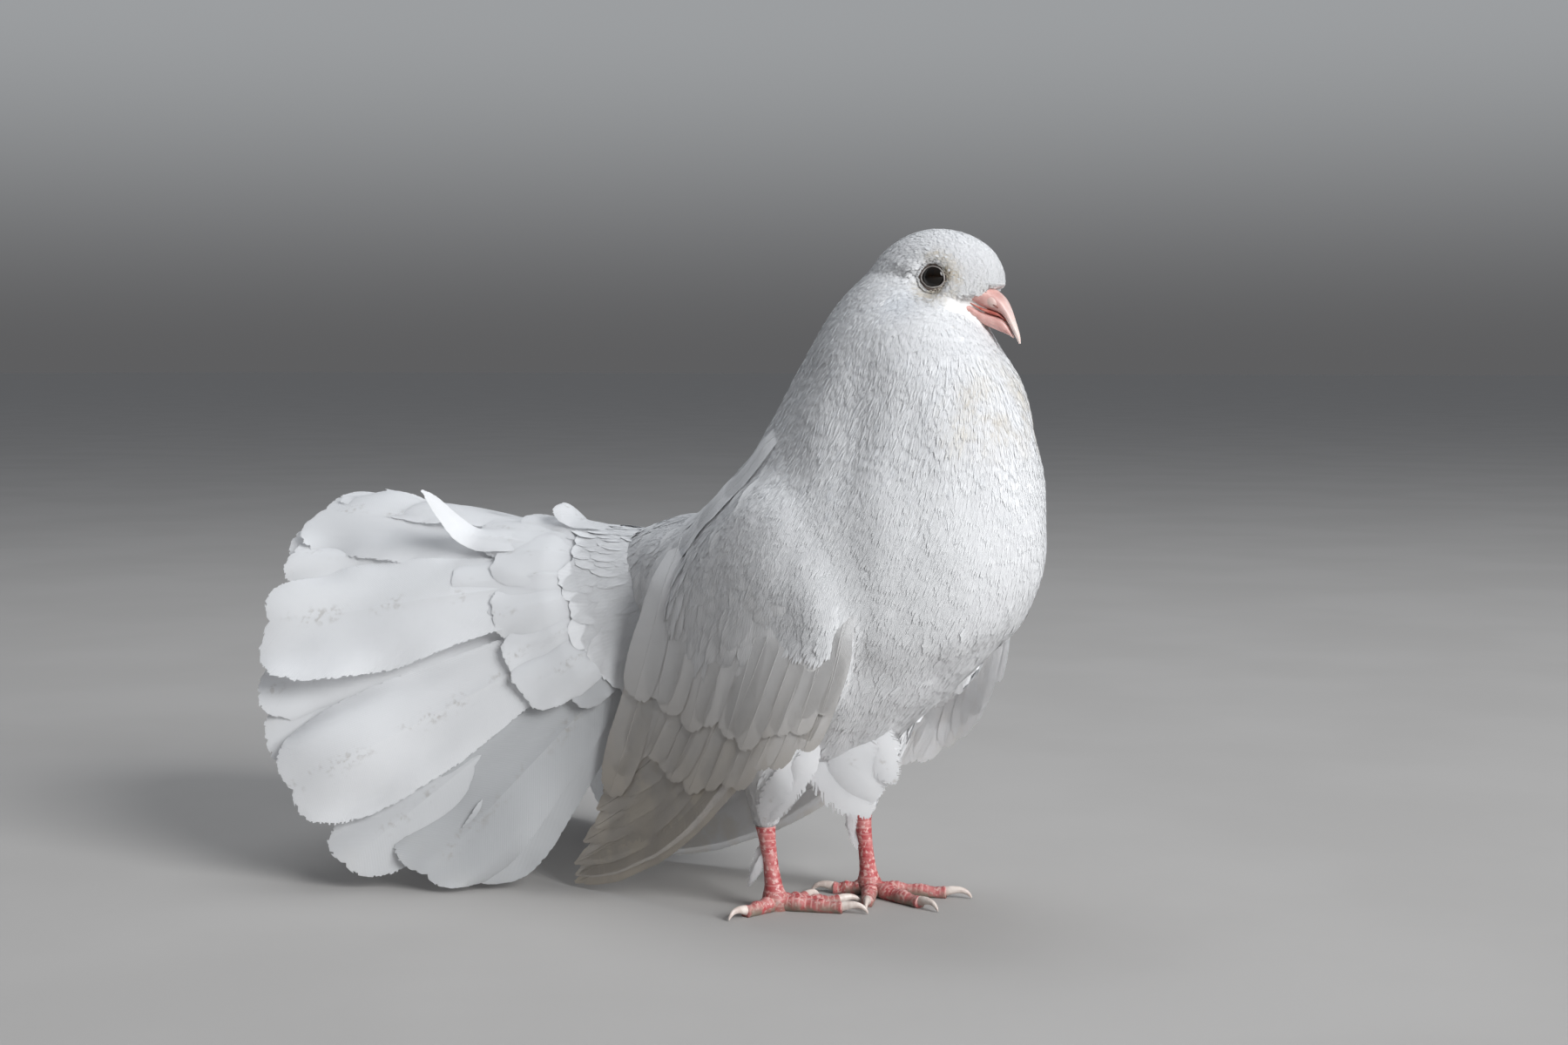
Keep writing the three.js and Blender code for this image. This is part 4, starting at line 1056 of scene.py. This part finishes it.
def vane_batch(batch, place, length, half, outline, rng, cell, bands, columns, shaft, sweep=0.8, fray=0.03,
               tip_fray=0.0, uneven=0.12, tone=0.0, stain=0.0, tip_stain=0.0):
    """One long feather of barbs in bands on a surface, place(along, across in mm, rise in mm)."""
    u_cell, v_cell, cell_size = cell

    def add(along, across, rise, faces, worn):
        points = place(along, across, rise).reshape(-1, 3)
        u, v = across.ravel() / half, along.ravel()
        bake = np.stack([u_cell + cell_size * (0.5 + 0.42 * u / 1.2),
                         v_cell + cell_size * (0.05 + 0.8 * v)], -1)
        batch.add(points, [faces], bake, np.stack([u, v * length / half], -1),
                  tone(points) if callable(tone) else tone, worn)

    t = np.linspace(VANE_START, 1, bands + 1)
    share = np.linspace(0, 1, columns + 1) ** 1.5
    seed = rng.uniform(0, 90)
    for side in (-1, 1):
        reach = 1 - fray * rng.random(bands) ** 2
        reach += uneven * waves(3.6 * t[:-1], np.full(bands, 5.0 * side), seed)
        reach *= 1 - tip_fray * rng.random(bands) * smooth(t[:-1], 0.6, 1)
        reach[-5:] *= 1 - 0.2 * rng.random(5)
        height = rng.normal(0, 0.012, bands)
        ends = []
        for shaft_t in (t[:-1], t[1:]):
            wide = half * np.interp(shaft_t, *outline)[:, None] * share[None] * reach[:, None]
            ends.append((shaft_t[:, None] + sweep * wide / length, side * wide,
                         height[:, None] * share[None]))
        along, across, rise = (np.stack([ends[0][k], ends[1][k]], 1) for k in range(3))
        faces = grid_quads(1, columns)[None] + (np.arange(bands) * 2 * (columns + 1))[:, None, None]
        add(along, across, rise, faces.reshape(-1, 4),
            stain + tip_stain * smooth(along.ravel(), 0.8, 1.05))
    if shaft:
        along = np.linspace(0, 0.985, SHAFT_ROWS)
        wide = shaft * (1 - along) ** 0.8 / 2 + 0.07
        corners = np.array([[-1, 0], [0, 1], [1, 0], [0, -1]])
        add(np.repeat(along[:, None], 4, 1), wide[:, None] * corners[None, :, 0],
            wide[:, None] * (corners[None, :, 1] * 0.25 + 0.1), loft_quads(SHAFT_ROWS, 4), stain)


def cells(count):
    """Square places for count feathers on the map, as corner u, corner v and side."""
    across = math.ceil(math.sqrt(count))
    side = 1 / across
    return [((k % across) * side, (k // across) * side, side) for k in range(count)]


# Wings

WING_TIERS = [
    {"count": 9, "outline": PRIMARY_OUTLINE, "half": (8.4, 8.4), "dirt": 0.3, "base": 0.4, "rise": 0.010,
     "bow": 6, "tilt": 0.045, "bands": 110, "shaft": 0.77, "jitter": 0.8, "spread": 1,
     "roots": [[10, 72], [-16, 92]], "tips": [[-92, 2.5], [-91, 8], [-86, 20], [-77, 38]]},
    {"count": 15, "outline": LONG_OUTLINE, "half": (5.0, 9.5), "dirt": 0.15, "base": 0.0, "rise": 0.027,
     "bow": 1.5, "tilt": 0.030, "bands": 80, "shaft": 0.49, "jitter": 1.5, "spread": 1.25,
     "roots": [[36, 112], [14, 108], [-14, 112], [-42, 122]],
     "tips": [[22, 68], [-2, 53], [-32, 46], [-56, 55], [-71, 40]]},
    {"count": 14, "outline": LONG_OUTLINE, "half": (4.6, 9.5), "dirt": 0.05, "base": 0.8, "rise": 0.019,
     "bow": 1, "tilt": 0.028, "bands": 70, "shaft": 0.245, "jitter": 2.6, "spread": 1.25,
     "roots": [[37, 117], [10, 120], [-40, 134]],
     "tips": [[28, 78], [10, 68], [-14, 66], [-34, 70], [-60, 76]]},
]


def wing_soil_and_shade(side, points):
    """How soiled and painted with shade a wing is: clean at the shoulder, most at the tips. On the right
    wing the darkening is mostly painted shade, partly soil.
    """
    return WING_SOIL_AND_SHADE[side] * (1 - smooth(points[:, 2], 20, 145))


def wing_vane(batch, side, tier, share, cell, rng):
    """A feather of a wing, at its share of the way from the tier's front to its rear."""
    share = share ** tier["spread"]
    root, tip = (through(np.array(tier[key], float), share) for key in ("roots", "tips"))
    half = tier["half"][0] + (tier["half"][1] - tier["half"][0]) * share
    tip = tip + rng.normal(0, tier["jitter"], 2)
    if side == "left":
        tip[1] -= LEFT_DROP * math.exp(-(tip[0] / 26) ** 2)
    run = tip - root
    length = float(np.linalg.norm(run))
    front = np.array([-run[1], run[0]]) / length
    wave = rng.uniform(0, 6.28)

    def place(along, across, rise):
        out = across + 4 * tier["bow"] * along * (1 - along)
        edge = np.abs(across) / half
        ruffle = 0.12 * edge ** 2 * np.sin(9 * along + wave)
        x = root[0] + run[0] * along + front[0] * out
        lift = (tier["base"] + tier["rise"] * length * along + tier["tilt"] * across + rise + ruffle
                + 0.15 * (1 - edge) - VANE_SINK * (1 - smooth(along, 0, 0.35))
                - WRIST_SINK * smooth(x, 5, 32))
        z = np.maximum(root[1] + run[1] * along + front[1] * out, 0.4)
        return wing_place(side, x, z, lift)

    own = rng.uniform(-0.04, 0.04)
    vane_batch(batch, place, length, half, tier["outline"], rng, cell, tier["bands"], 6, tier["shaft"],
               sweep=0.7, stain=tier["dirt"] * rng.uniform(0.5, 1),
               tone=lambda points: own + wing_soil_and_shade(side, points))


def laid_vane(batch, root, tip, lift, rng, cell):
    """A feather that lies along the skin from root to tip."""
    run = tip - root
    normal = np.array(skin_surface.find_nearest((root + tip) / 2)[1])
    across_way = unit(np.cross(normal, run))

    def place(along, across, rise):
        flat = root + run * along[..., None] + across_way * across[..., None]
        points = np.empty_like(flat)
        for index in np.ndindex(along.shape):
            spot, out, _, _ = skin_surface.find_nearest(flat[index])
            high = lift * smooth(along[index], -0.1, 0.45) - 1.0 + rise[index]
            points[index] = np.array(spot) + np.array(out) * high
        return points

    vane_batch(batch, place, float(np.linalg.norm(run)), SCAPULAR_HALF, ROUND_OUTLINE, rng, cell, 60, 5,
               0.4, sweep=0.6, tone=0.02)


def build_wing(side):
    rng = np.random.default_rng(SEED + 40 + SIDES[side])
    places = iter(cells(sum(tier["count"] for tier in WING_TIERS)))
    for index, tier in enumerate(WING_TIERS):
        batch = Batch()
        for k in range(tier["count"]):
            wing_vane(batch, side, tier, k / (tier["count"] - 1), next(places), rng)
        batch.piece(f"wing_{side}_tier_{index}", VANE)
    rng = np.random.default_rng(SEED + 60 + SIDES[side])
    batch = Batch()
    for shares, cell in zip(reversed(SCAPULARS), cells(len(SCAPULARS))):
        ends = []
        for share in shares:
            x, z = SCAPULAR_START + SCAPULAR_RUN * share
            z += 6 * math.sin(math.pi * min(max(share, 0), 1))
            ends.append(np.array([x - 3.5, SIDES[side] * (wing_half(x, z) - 7), z + 4]))
        laid_vane(batch, *ends, SCAPULAR_LIFT[side], rng, cell)
    batch.piece(f"scapulars_{side}", VANE)


for side in SIDES:
    build_wing(side)


# Tail

def tail_aim(turn):
    turn = np.asarray(turn, float)[..., None]
    return unit(TAIL_BACK + TAIL_UP * TAIL_OPEN_UP * np.cos(turn) + Y_AXIS * TAIL_OPEN_SIDE * np.sin(turn))


def tail_normal(turn):
    return unit(np.cross(tail_aim(turn + 0.01) - tail_aim(turn - 0.01), tail_aim(turn)))


def fan_place(turn, share):
    """A place on the fan's surface, at a turn from the top and a share of the way to the tips."""
    turn = np.asarray(turn, float)
    root = (TAIL_ROOT + TAIL_UP * TAIL_ROOT_HIGH * np.cos(turn)[..., None]
            + Y_AXIS * TAIL_ROOT_WIDE * np.sin(turn)[..., None])
    reach = np.interp(np.abs(np.degrees(turn)), *TIP_REACH.T)
    tip = TAIL_ROOT + tail_aim(turn) * reach[..., None]
    return root + (tip - root) * np.asarray(share, float)[..., None]


def fan_radius(turn, share):
    step = fan_place(turn + 0.01, share) - fan_place(turn - 0.01, share)
    return np.linalg.norm(step, axis=-1) / 0.02


def tail_vane(batch, degrees, tier, cell, rng):
    """A feather of the fan, at its turn from the top."""
    turn = math.radians(degrees)
    way = 1 if degrees >= 0 else -1
    start, reach, half, frill = (tier[key] for key in ("start", "reach", "half", "frill"))
    seed = rng.uniform(0, 90)
    curl = rng.uniform(0.3, 1.0)

    def lowest():
        across = np.linspace(-1, 1, 9) * 0.8 * half / fan_radius(turn, 1.0)
        return fan_place(turn + across, np.full(9, reach - 0.06))[:, 2].min()

    while lowest() < FAN_CLEAR:
        reach -= 0.01

    def place(along, across, rise):
        share = start + (reach - start) * along
        here = turn + across / fan_radius(np.full(share.shape, turn), np.clip(share, -0.1, 1.0))
        away = np.abs(across) if abs(degrees) < MIDDLE_TURN else across * way
        edge = across / half
        free = smooth(along, 0.2, 0.95)
        wide_wave = waves(3.0 * along, 1.1 * edge, seed) * (0.6 + 0.7 * edge ** 2)
        ruffle = frill * free * (wide_wave + 0.5 * waves(7.0 * along, 2.4 * edge, seed + 40) * edge ** 2)
        ruffle -= CUP * free * edge ** 2
        ruffle += SHAFT_RIDGE * np.exp(-(across / 1.1) ** 2) * (1 - along)
        ruffle += tier["stray"] * smooth(along, 0.45, 1.05) ** 2
        bend = -2.0 * curl * np.clip(along - 0.8, 0, 1) ** 1.5 * frill
        settle = 0.5 * tier["lift"] * np.clip(1 - along / 0.6, 0, 1) ** 2
        settle += tier["sink"] * (1 - smooth(share, 0.14, 0.24))
        rolled = tier["roll"] * np.clip((edge * way - 0.45) / 0.55, 0, 1.2) ** 2 * smooth(along, 0.25, 0.7)
        lift = tier["lift"] + rise + TAIL_TILT * away + ruffle + bend - settle + rolled
        points = fan_place(here, share) + tail_normal(here) * lift[..., None]
        z = points[..., 2]
        bent = FLOOR_BEND * np.exp((z - FLOOR_BEND) / FLOOR_BEND) * (1 - FLOOR_LEAST / FLOOR_BEND)
        points[..., 2] = np.where(z < FLOOR_BEND, FLOOR_LEAST + bent, z)
        return points

    length = float(np.interp(abs(degrees), *TIP_REACH.T)) - 24
    # The lowest feathers of the fan, from 90 to 115 degrees round, are greyed as painted shade; the small
    # random tone is their own.
    vane_batch(batch, place, length * (reach - start), half, tier["outline"], rng, cell, tier["bands"],
               9, 0, tip_fray=0.05, tone=rng.uniform(0, 0.08) + smooth(abs(degrees), 90, 115),
               uneven=0.09, tip_stain=tier["worn"] * rng.uniform(0.2, 1))


def both(*turns):
    """The turns on both sides of the middle, in degrees from the top."""
    return [turn * way for turn in turns for way in ((1, -1) if turn else (1,))]


def fan_tier(turns, reach, half, lift, frill, bands, worn, outline=FAN_OUTLINE, start=-0.03, sink=0.0,
             roll=0.0, stray=0.0):
    return {"turns": turns, "reach": reach, "half": half, "lift": lift, "frill": frill, "bands": bands,
            "worn": worn, "outline": outline, "start": start, "sink": sink, "roll": roll, "stray": stray}


# Four layers of the fan, two of coverts, the stray curled feather and the broken one.
TAIL_TIERS = [
    fan_tier(both(60), 1.0, 28, 3.2, 7.5, 170, 0.05, roll=5.0),
    fan_tier(both(0, 22, 87), 1.03, 25, 1.3, 7.5, 170, 0.05),
    fan_tier(both(11, 40, 112), 1.02, 21, -0.8, 6.0, 160, 0.15),
    fan_tier(both(5, 31, 70, 80, 101, 120), 1.05, 17, -2.9, 5.0, 140, 0.1),
    fan_tier(both(25, 55, 84, 105), 0.46, 14, 4.0, 2.6, 90, 0.05, COVERT_OUTLINE, -0.06, sink=1.6),
    fan_tier(both(0, 40, 70, 95), 0.36, 13, 4.7, 2.0, 80, 0.0, COVERT_OUTLINE, -0.08, sink=2.2),
    fan_tier([-34], 0.62, 6.5, 5.5, 1.0, 80, 0.1, PLUME_OUTLINE, 0.26, stray=24.0),
    fan_tier([-7], 0.27, 5, 5.8, 1.5, 70, 0.1, LONG_OUTLINE, 0.04, stray=6.0),
]
FAN_LAYERS = 4
TAIL_NODES = [("tail_middle", "tail_upper_left", "tail_upper_right"),
              ("tail_lower_left", "tail_lower_right")]


def build_tail():
    rng = np.random.default_rng(SEED + 90)
    places = iter(cells(sum(len(tier["turns"]) for tier in TAIL_TIERS)))
    for index, tier in enumerate(TAIL_TIERS):
        batch = Batch()
        for turn in tier["turns"]:
            own = dict(tier)
            own["reach"] = tier["reach"] * (1 + rng.normal(0, 0.01))
            own["half"] = tier["half"] * rng.uniform(0.92, 1.06)
            if index >= FAN_LAYERS:
                own["reach"] *= rng.uniform(0.95, 1.05)
                own["half"] *= rng.uniform(0.92, 1.12)
            if index == FAN_LAYERS:
                own["reach"] *= 1 - 0.35 * smooth(abs(turn), 55, 105)
                own["half"] *= 1 - 0.4 * smooth(abs(turn), 55, 105)
            tail_vane(batch, turn + rng.normal(0, TURN_JITTER), own, next(places), rng)
        nodes = TAIL_NODES[index] if index < len(TAIL_NODES) else ()
        batch.piece(f"tail_tier_{index}", FAN_VANE, nodes)


def build_rump_coat():
    """The rounded feathers over the roots of the tail, rooted in the first rows of a sheet."""
    rng = np.random.default_rng(SEED + 95)
    rows, columns, last_row = 31, 59, 12
    shares, turns = np.meshgrid(np.linspace(-0.2, 0.42, rows + 1),
                                np.radians(np.linspace(-118, 118, columns + 1)), indexing="ij")
    lift = 5.2 - 1.9 * smooth(shares, 0.0, 0.17)
    points = (fan_place(turns, shares) + tail_normal(turns) * lift[..., None]).reshape(-1, 3)
    triangles = grid_triangles(rows, columns)
    rooted = triangles[(triangles // (columns + 1)).max(1) <= last_row]
    spots, normals = spread(points, rooted, constant(RUMP_GAP), rng)
    near = tree_of(points)
    own = np.array([near.find(spot)[1] for spot in spots])
    normals[(normals * tail_normal(turns).reshape(-1, 3)[own]).sum(1) < 0] *= -1
    way = unit(tail_aim(turns).reshape(-1, 3)[own] + rng.normal(0, 0.10, spots.shape))
    size = rng.uniform(0.8, 1.2, len(spots))
    batch = Batch()
    add_tufts(batch, surface_of(points, triangles), spots, normals, way, RUMP_LONG * size,
              RUMP_WIDE * size, RUMP_LIFT * rng.uniform(0.5, 1.5, len(spots)), lobe_shapes, rng,
              rng.uniform(0, 0.05, len(spots)), sink=0.5, relief=0.04)
    batch.piece("coat_rump", FEATHER)


def build_shoulder_coat():
    """The rounded coverts of the wings' upper parts, over the roots of the long feathers."""
    rng = np.random.default_rng(SEED + 97)

    def wanted(spots):
        back = (spots[:, 0] < 4) & (spots[:, 2] > 95) & (spots[:, 2] < 168)
        return (on_wing(spots, 4) & (spots[:, 2] > 100 + 28 * smooth(spots[:, 0], -4, 24))) | back

    spots, outs = scattered(COVERT_GAP, wanted, rng)
    way = unit(np.array([-0.42, 0, -1]) + rng.normal(0, 0.08, spots.shape))
    size = rng.uniform(0.8, 1.2, len(spots))
    low = (1 - smooth(spots[:, 2], 104, 128)) * (1 - smooth(spots[:, 0], 0, 22))
    # The coverts take the same soil and painted shade as the wing below them.
    soil_and_shade = np.where(spots[:, 1] < 0, wing_soil_and_shade("right", spots), wing_soil_and_shade("left", spots))
    batch = Batch()
    add_tufts(batch, skin_surface, spots, outs, way, (COVERT_LONG + 8 * low) * size, COVERT_WIDE * size,
              rng.uniform(0.12, 0.3, len(spots)) + 0.9 * low, lobe_shapes, rng,
              rng.uniform(0, 0.03, len(spots)) + soil_and_shade, sink=0.4, camber=0.015, relief=0.03)
    batch.piece("coat_shoulders", COVERT)


def hung_vane(batch, path, half, rng, cell):
    """A loose feather along a path of its own, with its face to the bird's right."""
    path = np.array(path, float)
    length = float(np.linalg.norm(np.diff(path, axis=0), axis=1).sum())

    def place(along, across, rise):
        near = np.minimum(along, 0.97)
        ahead = unit(through(path, near + 0.03) - through(path, near - 0.03))
        spot = through(path, along) + ahead * (np.maximum(along - 1, 0) * length)[..., None]
        side = unit(np.cross(PLUME_OUT, ahead))
        lift = rise - 0.12 * half * (across / half) ** 2
        return spot + side * across[..., None] + PLUME_OUT * lift[..., None]

    vane_batch(batch, place, length, half, PLUME_OUTLINE, rng, cell, 90, 6, 0, sweep=1.1, fray=0.3,
               tip_fray=0.3)


def build_plume():
    rng = np.random.default_rng(SEED + 70)
    batch = Batch()
    for (path, half), cell in zip(PLUME, cells(len(PLUME))):
        hung_vane(batch, path, half, rng, cell)
    batch.piece("plume", FAN_VANE)


build_tail()
build_rump_coat()
build_shoulder_coat()
build_plume()


# Eyes and bill

def eye_ball(side):
    """Rings of the eye, from its outer face inwards."""
    centre = EYE * np.array([1, side, 1])
    return [from_head(ring(centre + Y_AXIS * EYE_RADIUS * math.cos(angle), X_AXIS, Z_AXIS,
                           EYE_RADIUS * math.sin(angle), EYE_RADIUS * math.sin(angle), 40))
            for angle in np.linspace(0.02, math.pi - 0.02, 28)]


def lid_ring(side, radius, tube, out):
    """A ring of skin round the eye, wider at the front and the rear, joined end to start."""
    rows = []
    for turn in np.linspace(0, 2 * math.pi, 49)[:-1]:
        outward = np.array([math.cos(turn), 0, math.sin(turn) * 0.94])
        wobble = 1 + 0.15 * max(math.cos(turn + 0.5), 0) ** 5 + 0.10 * max(-math.cos(turn), 0) ** 5
        wobble += 0.05 * cloud.noise((2.2 * math.cos(turn), 2.2 * math.sin(turn), radius))
        centre = np.array([EYE[0], side * (EYE[1] + out), EYE[2]]) + outward * radius * wobble
        thick = tube * (0.8 + 0.45 * max(math.cos(turn + 1.1), 0))
        rows.append(from_head(ring(centre, outward, Y_AXIS * side, thick, thick, 10)))
    rows = np.array(rows)
    count, sides = rows.shape[:2]
    return rows.reshape(-1, 3), [loft_quads(count + 1, sides) % (count * sides)]


def bill_loft(rows):
    rings = []
    for x, z, edge_x, edge_z, half in through(rows, np.linspace(0, 1, 40)):
        top, edge = np.array([x, 0, z]), np.array([edge_x, 0, edge_z])
        rings.append(from_head(ring((top + edge) / 2, Y_AXIS, unit(top - edge), half,
                                    np.linalg.norm(top - edge) / 2, 28, 2.4)))
    return loft(rings)


def swelling(centre, size, side):
    """A small swelling on one side of the bill, by its size along, out and up."""
    forward = np.array([math.cos(CERE_TILT), 0, math.sin(CERE_TILT)])
    up = np.array([-math.sin(CERE_TILT), 0, math.cos(CERE_TILT)])
    centre = centre * np.array([1, side, 1])
    return loft([from_head(ring(centre - forward * size[0] * math.cos(angle), Y_AXIS, up,
                                size[1] * math.sin(angle), size[2] * math.sin(angle), 20))
                 for angle in np.linspace(0.05, math.pi - 0.05, 18)])


for side_name, side in SIDES.items():
    plain_piece(f"eye_{side_name}_ball", loft(eye_ball(side)), EYE_DARK, "eye", (f"eye_{side_name}",))
    for kind, sizes, material in (("lid", LID_SIZES, LID), ("rim", RIM_SIZES, RIM)):
        plain_piece(f"{kind}_{side_name}", lid_ring(side, *sizes), material, "plumage")

for name, rows, pale_from in (("bill_upper", BILL_TOP_ROWS, 20), ("bill_lower", BILL_LOW_ROWS, 24)):
    shape = bill_loft(rows)
    local = in_head(shape[0])
    ridge = 0.5 * smooth(-np.abs(local[:, 1]), -1.6, 0) * smooth(local[:, 0], 18, 22)
    plain_piece(f"{name}_horn", shape, BILL, "bill", (name,),
                tone=np.maximum(ridge, 0.85 * smooth(local[:, 0], pale_from, pale_from + 8)))
plain_piece("mouth", bill_loft(MOUTH_ROWS), MOUTH, "bill")

for side_name, side in SIDES.items():
    plain_piece(f"cere_{side_name}", swelling(*CERE, side), CERE_SKIN, "bill")
    plain_piece(f"nostril_{side_name}", swelling(*NOSTRIL, side), NOSTRIL_SKIN, "bill")


# Legs

def scute_mark(wave, width):
    """1 in the groove between two scutes."""
    return 1 - smooth(min(wave, 1 - wave), 0, width)


def toe_rings(foot, turn, toe_length):
    """Rings of a toe with its scutes on top, and the tone and stain of each point."""
    along = level(turn)
    across = np.array([-along[1], along[0], 0])
    rows, tone, stain = [], [], []
    scutes = max(7, round(toe_length / 2.1))
    for t in np.linspace(0, 1, 56):
        high = (TOE_ROOT + (TOE_END - TOE_ROOT) * t) * (1 + 0.07 * math.cos(2 * math.pi * 3 * t))
        wave = (t * scutes) % 1.0
        plate = 0.94 + 0.10 * wave ** 0.6 if wave < 0.85 else 0.94 + 0.10 * (1 - wave) / 0.15
        centre = np.array([foot[0], foot[1], high * 0.82 + (1.6 * (1 - t / 0.12) if t < 0.12 else 0)])
        centre = centre + along * toe_length * t
        row = ring(centre, across, Z_AXIS, high, high, 20)
        top = np.clip((row[:, 2] - centre[2]) / high, 0, 1)
        row = centre + (row - centre) * (1 + (plate - 1) * top[:, None])
        row[:, 2] = np.maximum(row[:, 2], 0.0)
        rows.append(row)
        tone.append(np.where(top > 0, scute_mark(wave, 0.16) * 0.8, 0))
        stain.append(np.clip(1.5 - row[:, 2] / 3.0, 0, 1))
    return rows, np.array(tone), np.array(stain)


def shank_rings(side):
    """Rings of a shank with its scutes in front, and the tone and stain of each point."""
    foot, ankle = (np.array(LEGS[side][key]) for key in ("foot", "ankle"))
    rows, tone, stain = [], [], []
    for z, long, wide in through(SHANK_ROWS, np.linspace(0, 1, 90)):
        share = z / ANKLE_Z
        centre = np.append(foot * (1 - share) + ankle * share, z)
        wave = (z / 2.3) % 1.0
        plate = 1 + 0.05 * (wave if wave < 0.8 else (1 - wave) * 4)
        row = ring(centre, X_AXIS, Y_AXIS, long, wide, 24)
        front = np.clip((row[:, 0] - centre[0]) / long, 0, 1)[:, None]
        rows.append(centre + (row - centre) * (1 + (plate - 1) * (0.4 + 0.6 * front)))
        tone.append(np.full(24, scute_mark(wave, 0.14) * 0.6))
        stain.append(np.full(24, 0.6 * (1 - smooth(z, 1, 9))))
    return rows, np.array(tone), np.array(stain)


def claw_loft(foot, turn, toe_length, claw_length):
    along = level(turn)
    across = np.array([-along[1], along[0], 0])
    rows = []
    for t in np.linspace(0, 1, 18):
        bend = math.radians(10 - 85 * t)
        radius = CLAW_ROOT * (1 - t) ** 0.7 + 0.12
        gone = math.sin(t * 1.35) / math.sin(1.35)
        z = CLAW_HIGH + (CLAW_LOW - CLAW_HIGH) * t ** 2.2 + 1.1 * math.sin(math.pi * t)
        centre = np.array([foot[0], foot[1], z]) + along * (toe_length - 0.6 + (claw_length + 0.9) * gone)
        up = Z_AXIS * math.cos(bend) - along * math.sin(bend)
        rows.append(ring(centre, across, up, radius * 0.8, radius, 14))
    points, faces = loft(rows)
    points[:, 2] = np.maximum(points[:, 2], 0.05)
    return points, faces


for side_name, leg in LEGS.items():
    forms = [shank_rings(side_name)]
    forms += [toe_rings(leg["foot"], turn, toe_length) for turn, toe_length, _ in leg["toes"].values()]
    tone, stain = (np.concatenate([np.append(form[k].ravel(), [0, 0]) for form in forms]) for k in (1, 2))
    plain_piece(f"leg_{side_name}", joined([loft(form[0]) for form in forms]), LEG, "leg_skin",
                (f"foot_{side_name}",), tone=tone, stain=stain)
    for toe_name, toe in leg["toes"].items():
        name = f"claw_{side_name}_{toe_name}"
        plain_piece(f"{name}_horn", claw_loft(leg["foot"], *toe), CLAW, "horn", (name,))


# Floor, light and camera

floor_points = np.array([[-1, -1, 0], [1, -1, 0], [1, 1, 0], [-1, 1, 0]], float) * FLOOR_REACH
floor = bpy.data.objects.new("floor", new_mesh("floor", floor_points, [np.array([[0, 1, 2, 3]])]))
bpy.context.scene.collection.objects.link(floor)
floor.data.materials.append(surface_material(
    "floor_pale", (0.405, 0.39, 0.375), (0.425, 0.41, 0.395), 6, 0.85, 40, 0.0002))


def aimed(name, data, place, way):
    """An object at a place in the scene that looks along a direction."""
    made = bpy.data.objects.new(name, data)
    bpy.context.scene.collection.objects.link(made)
    made.matrix_world = Matrix.Translation(place) @ way.to_track_quat("-Z", "Y").to_matrix().to_4x4()
    return made


def area_light(name, place, aim, size, power, colour):
    light = bpy.data.lights.new(name, "AREA")
    light.shape = "DISK"
    light.size = size
    light.energy = power
    light.color = colour
    aimed(name, light, place, Vector(aim) - Vector(place))


for name, lamp in LAMPS.items():
    area_light(name, *lamp)


def studio_world():
    """Soft light from all round, as bright at the horizon as the far floor."""
    world = bpy.data.worlds.new("studio")
    world.use_nodes = True
    tree = world.node_tree
    way = node(tree, "ShaderNodeTexCoord").outputs["Generated"]
    parts = node(tree, "ShaderNodeSeparateXYZ", {0: way}).outputs
    ahead = maths(tree, "SUBTRACT", times(tree, parts[1], math.cos(CAMERA_HEADING)),
                  times(tree, parts[0], math.sin(CAMERA_HEADING)))
    wall = mixed(tree, ramp(tree, ahead, -0.5, 0.8), WORLD_NEAR, WORLD_FAR)
    around = mixed(tree, ramp(tree, parts[2], 0.0, 0.16), WORLD_FLOOR, wall)
    colour = mixed(tree, ramp(tree, parts[2], 0.05, 0.8), around, WORLD_HIGH)
    tree.links.new(colour, tree.nodes["Background"].inputs["Color"])
    return world


bpy.context.scene.world = studio_world()
bpy.context.scene.view_settings.view_transform = "Standard"

camera_data = bpy.data.cameras.new("camera")
camera_data.lens = CAMERA_LENS
camera_data.sensor_width = 36
camera_data.clip_start = 0.01
heading = Vector((-math.sin(CAMERA_HEADING), math.cos(CAMERA_HEADING), 0))
bpy.context.scene.camera = aimed("camera", camera_data, to_frame(CAMERA_PLACE),
                                 heading * math.cos(CAMERA_PITCH) + Vector((0, 0, math.sin(CAMERA_PITCH))))
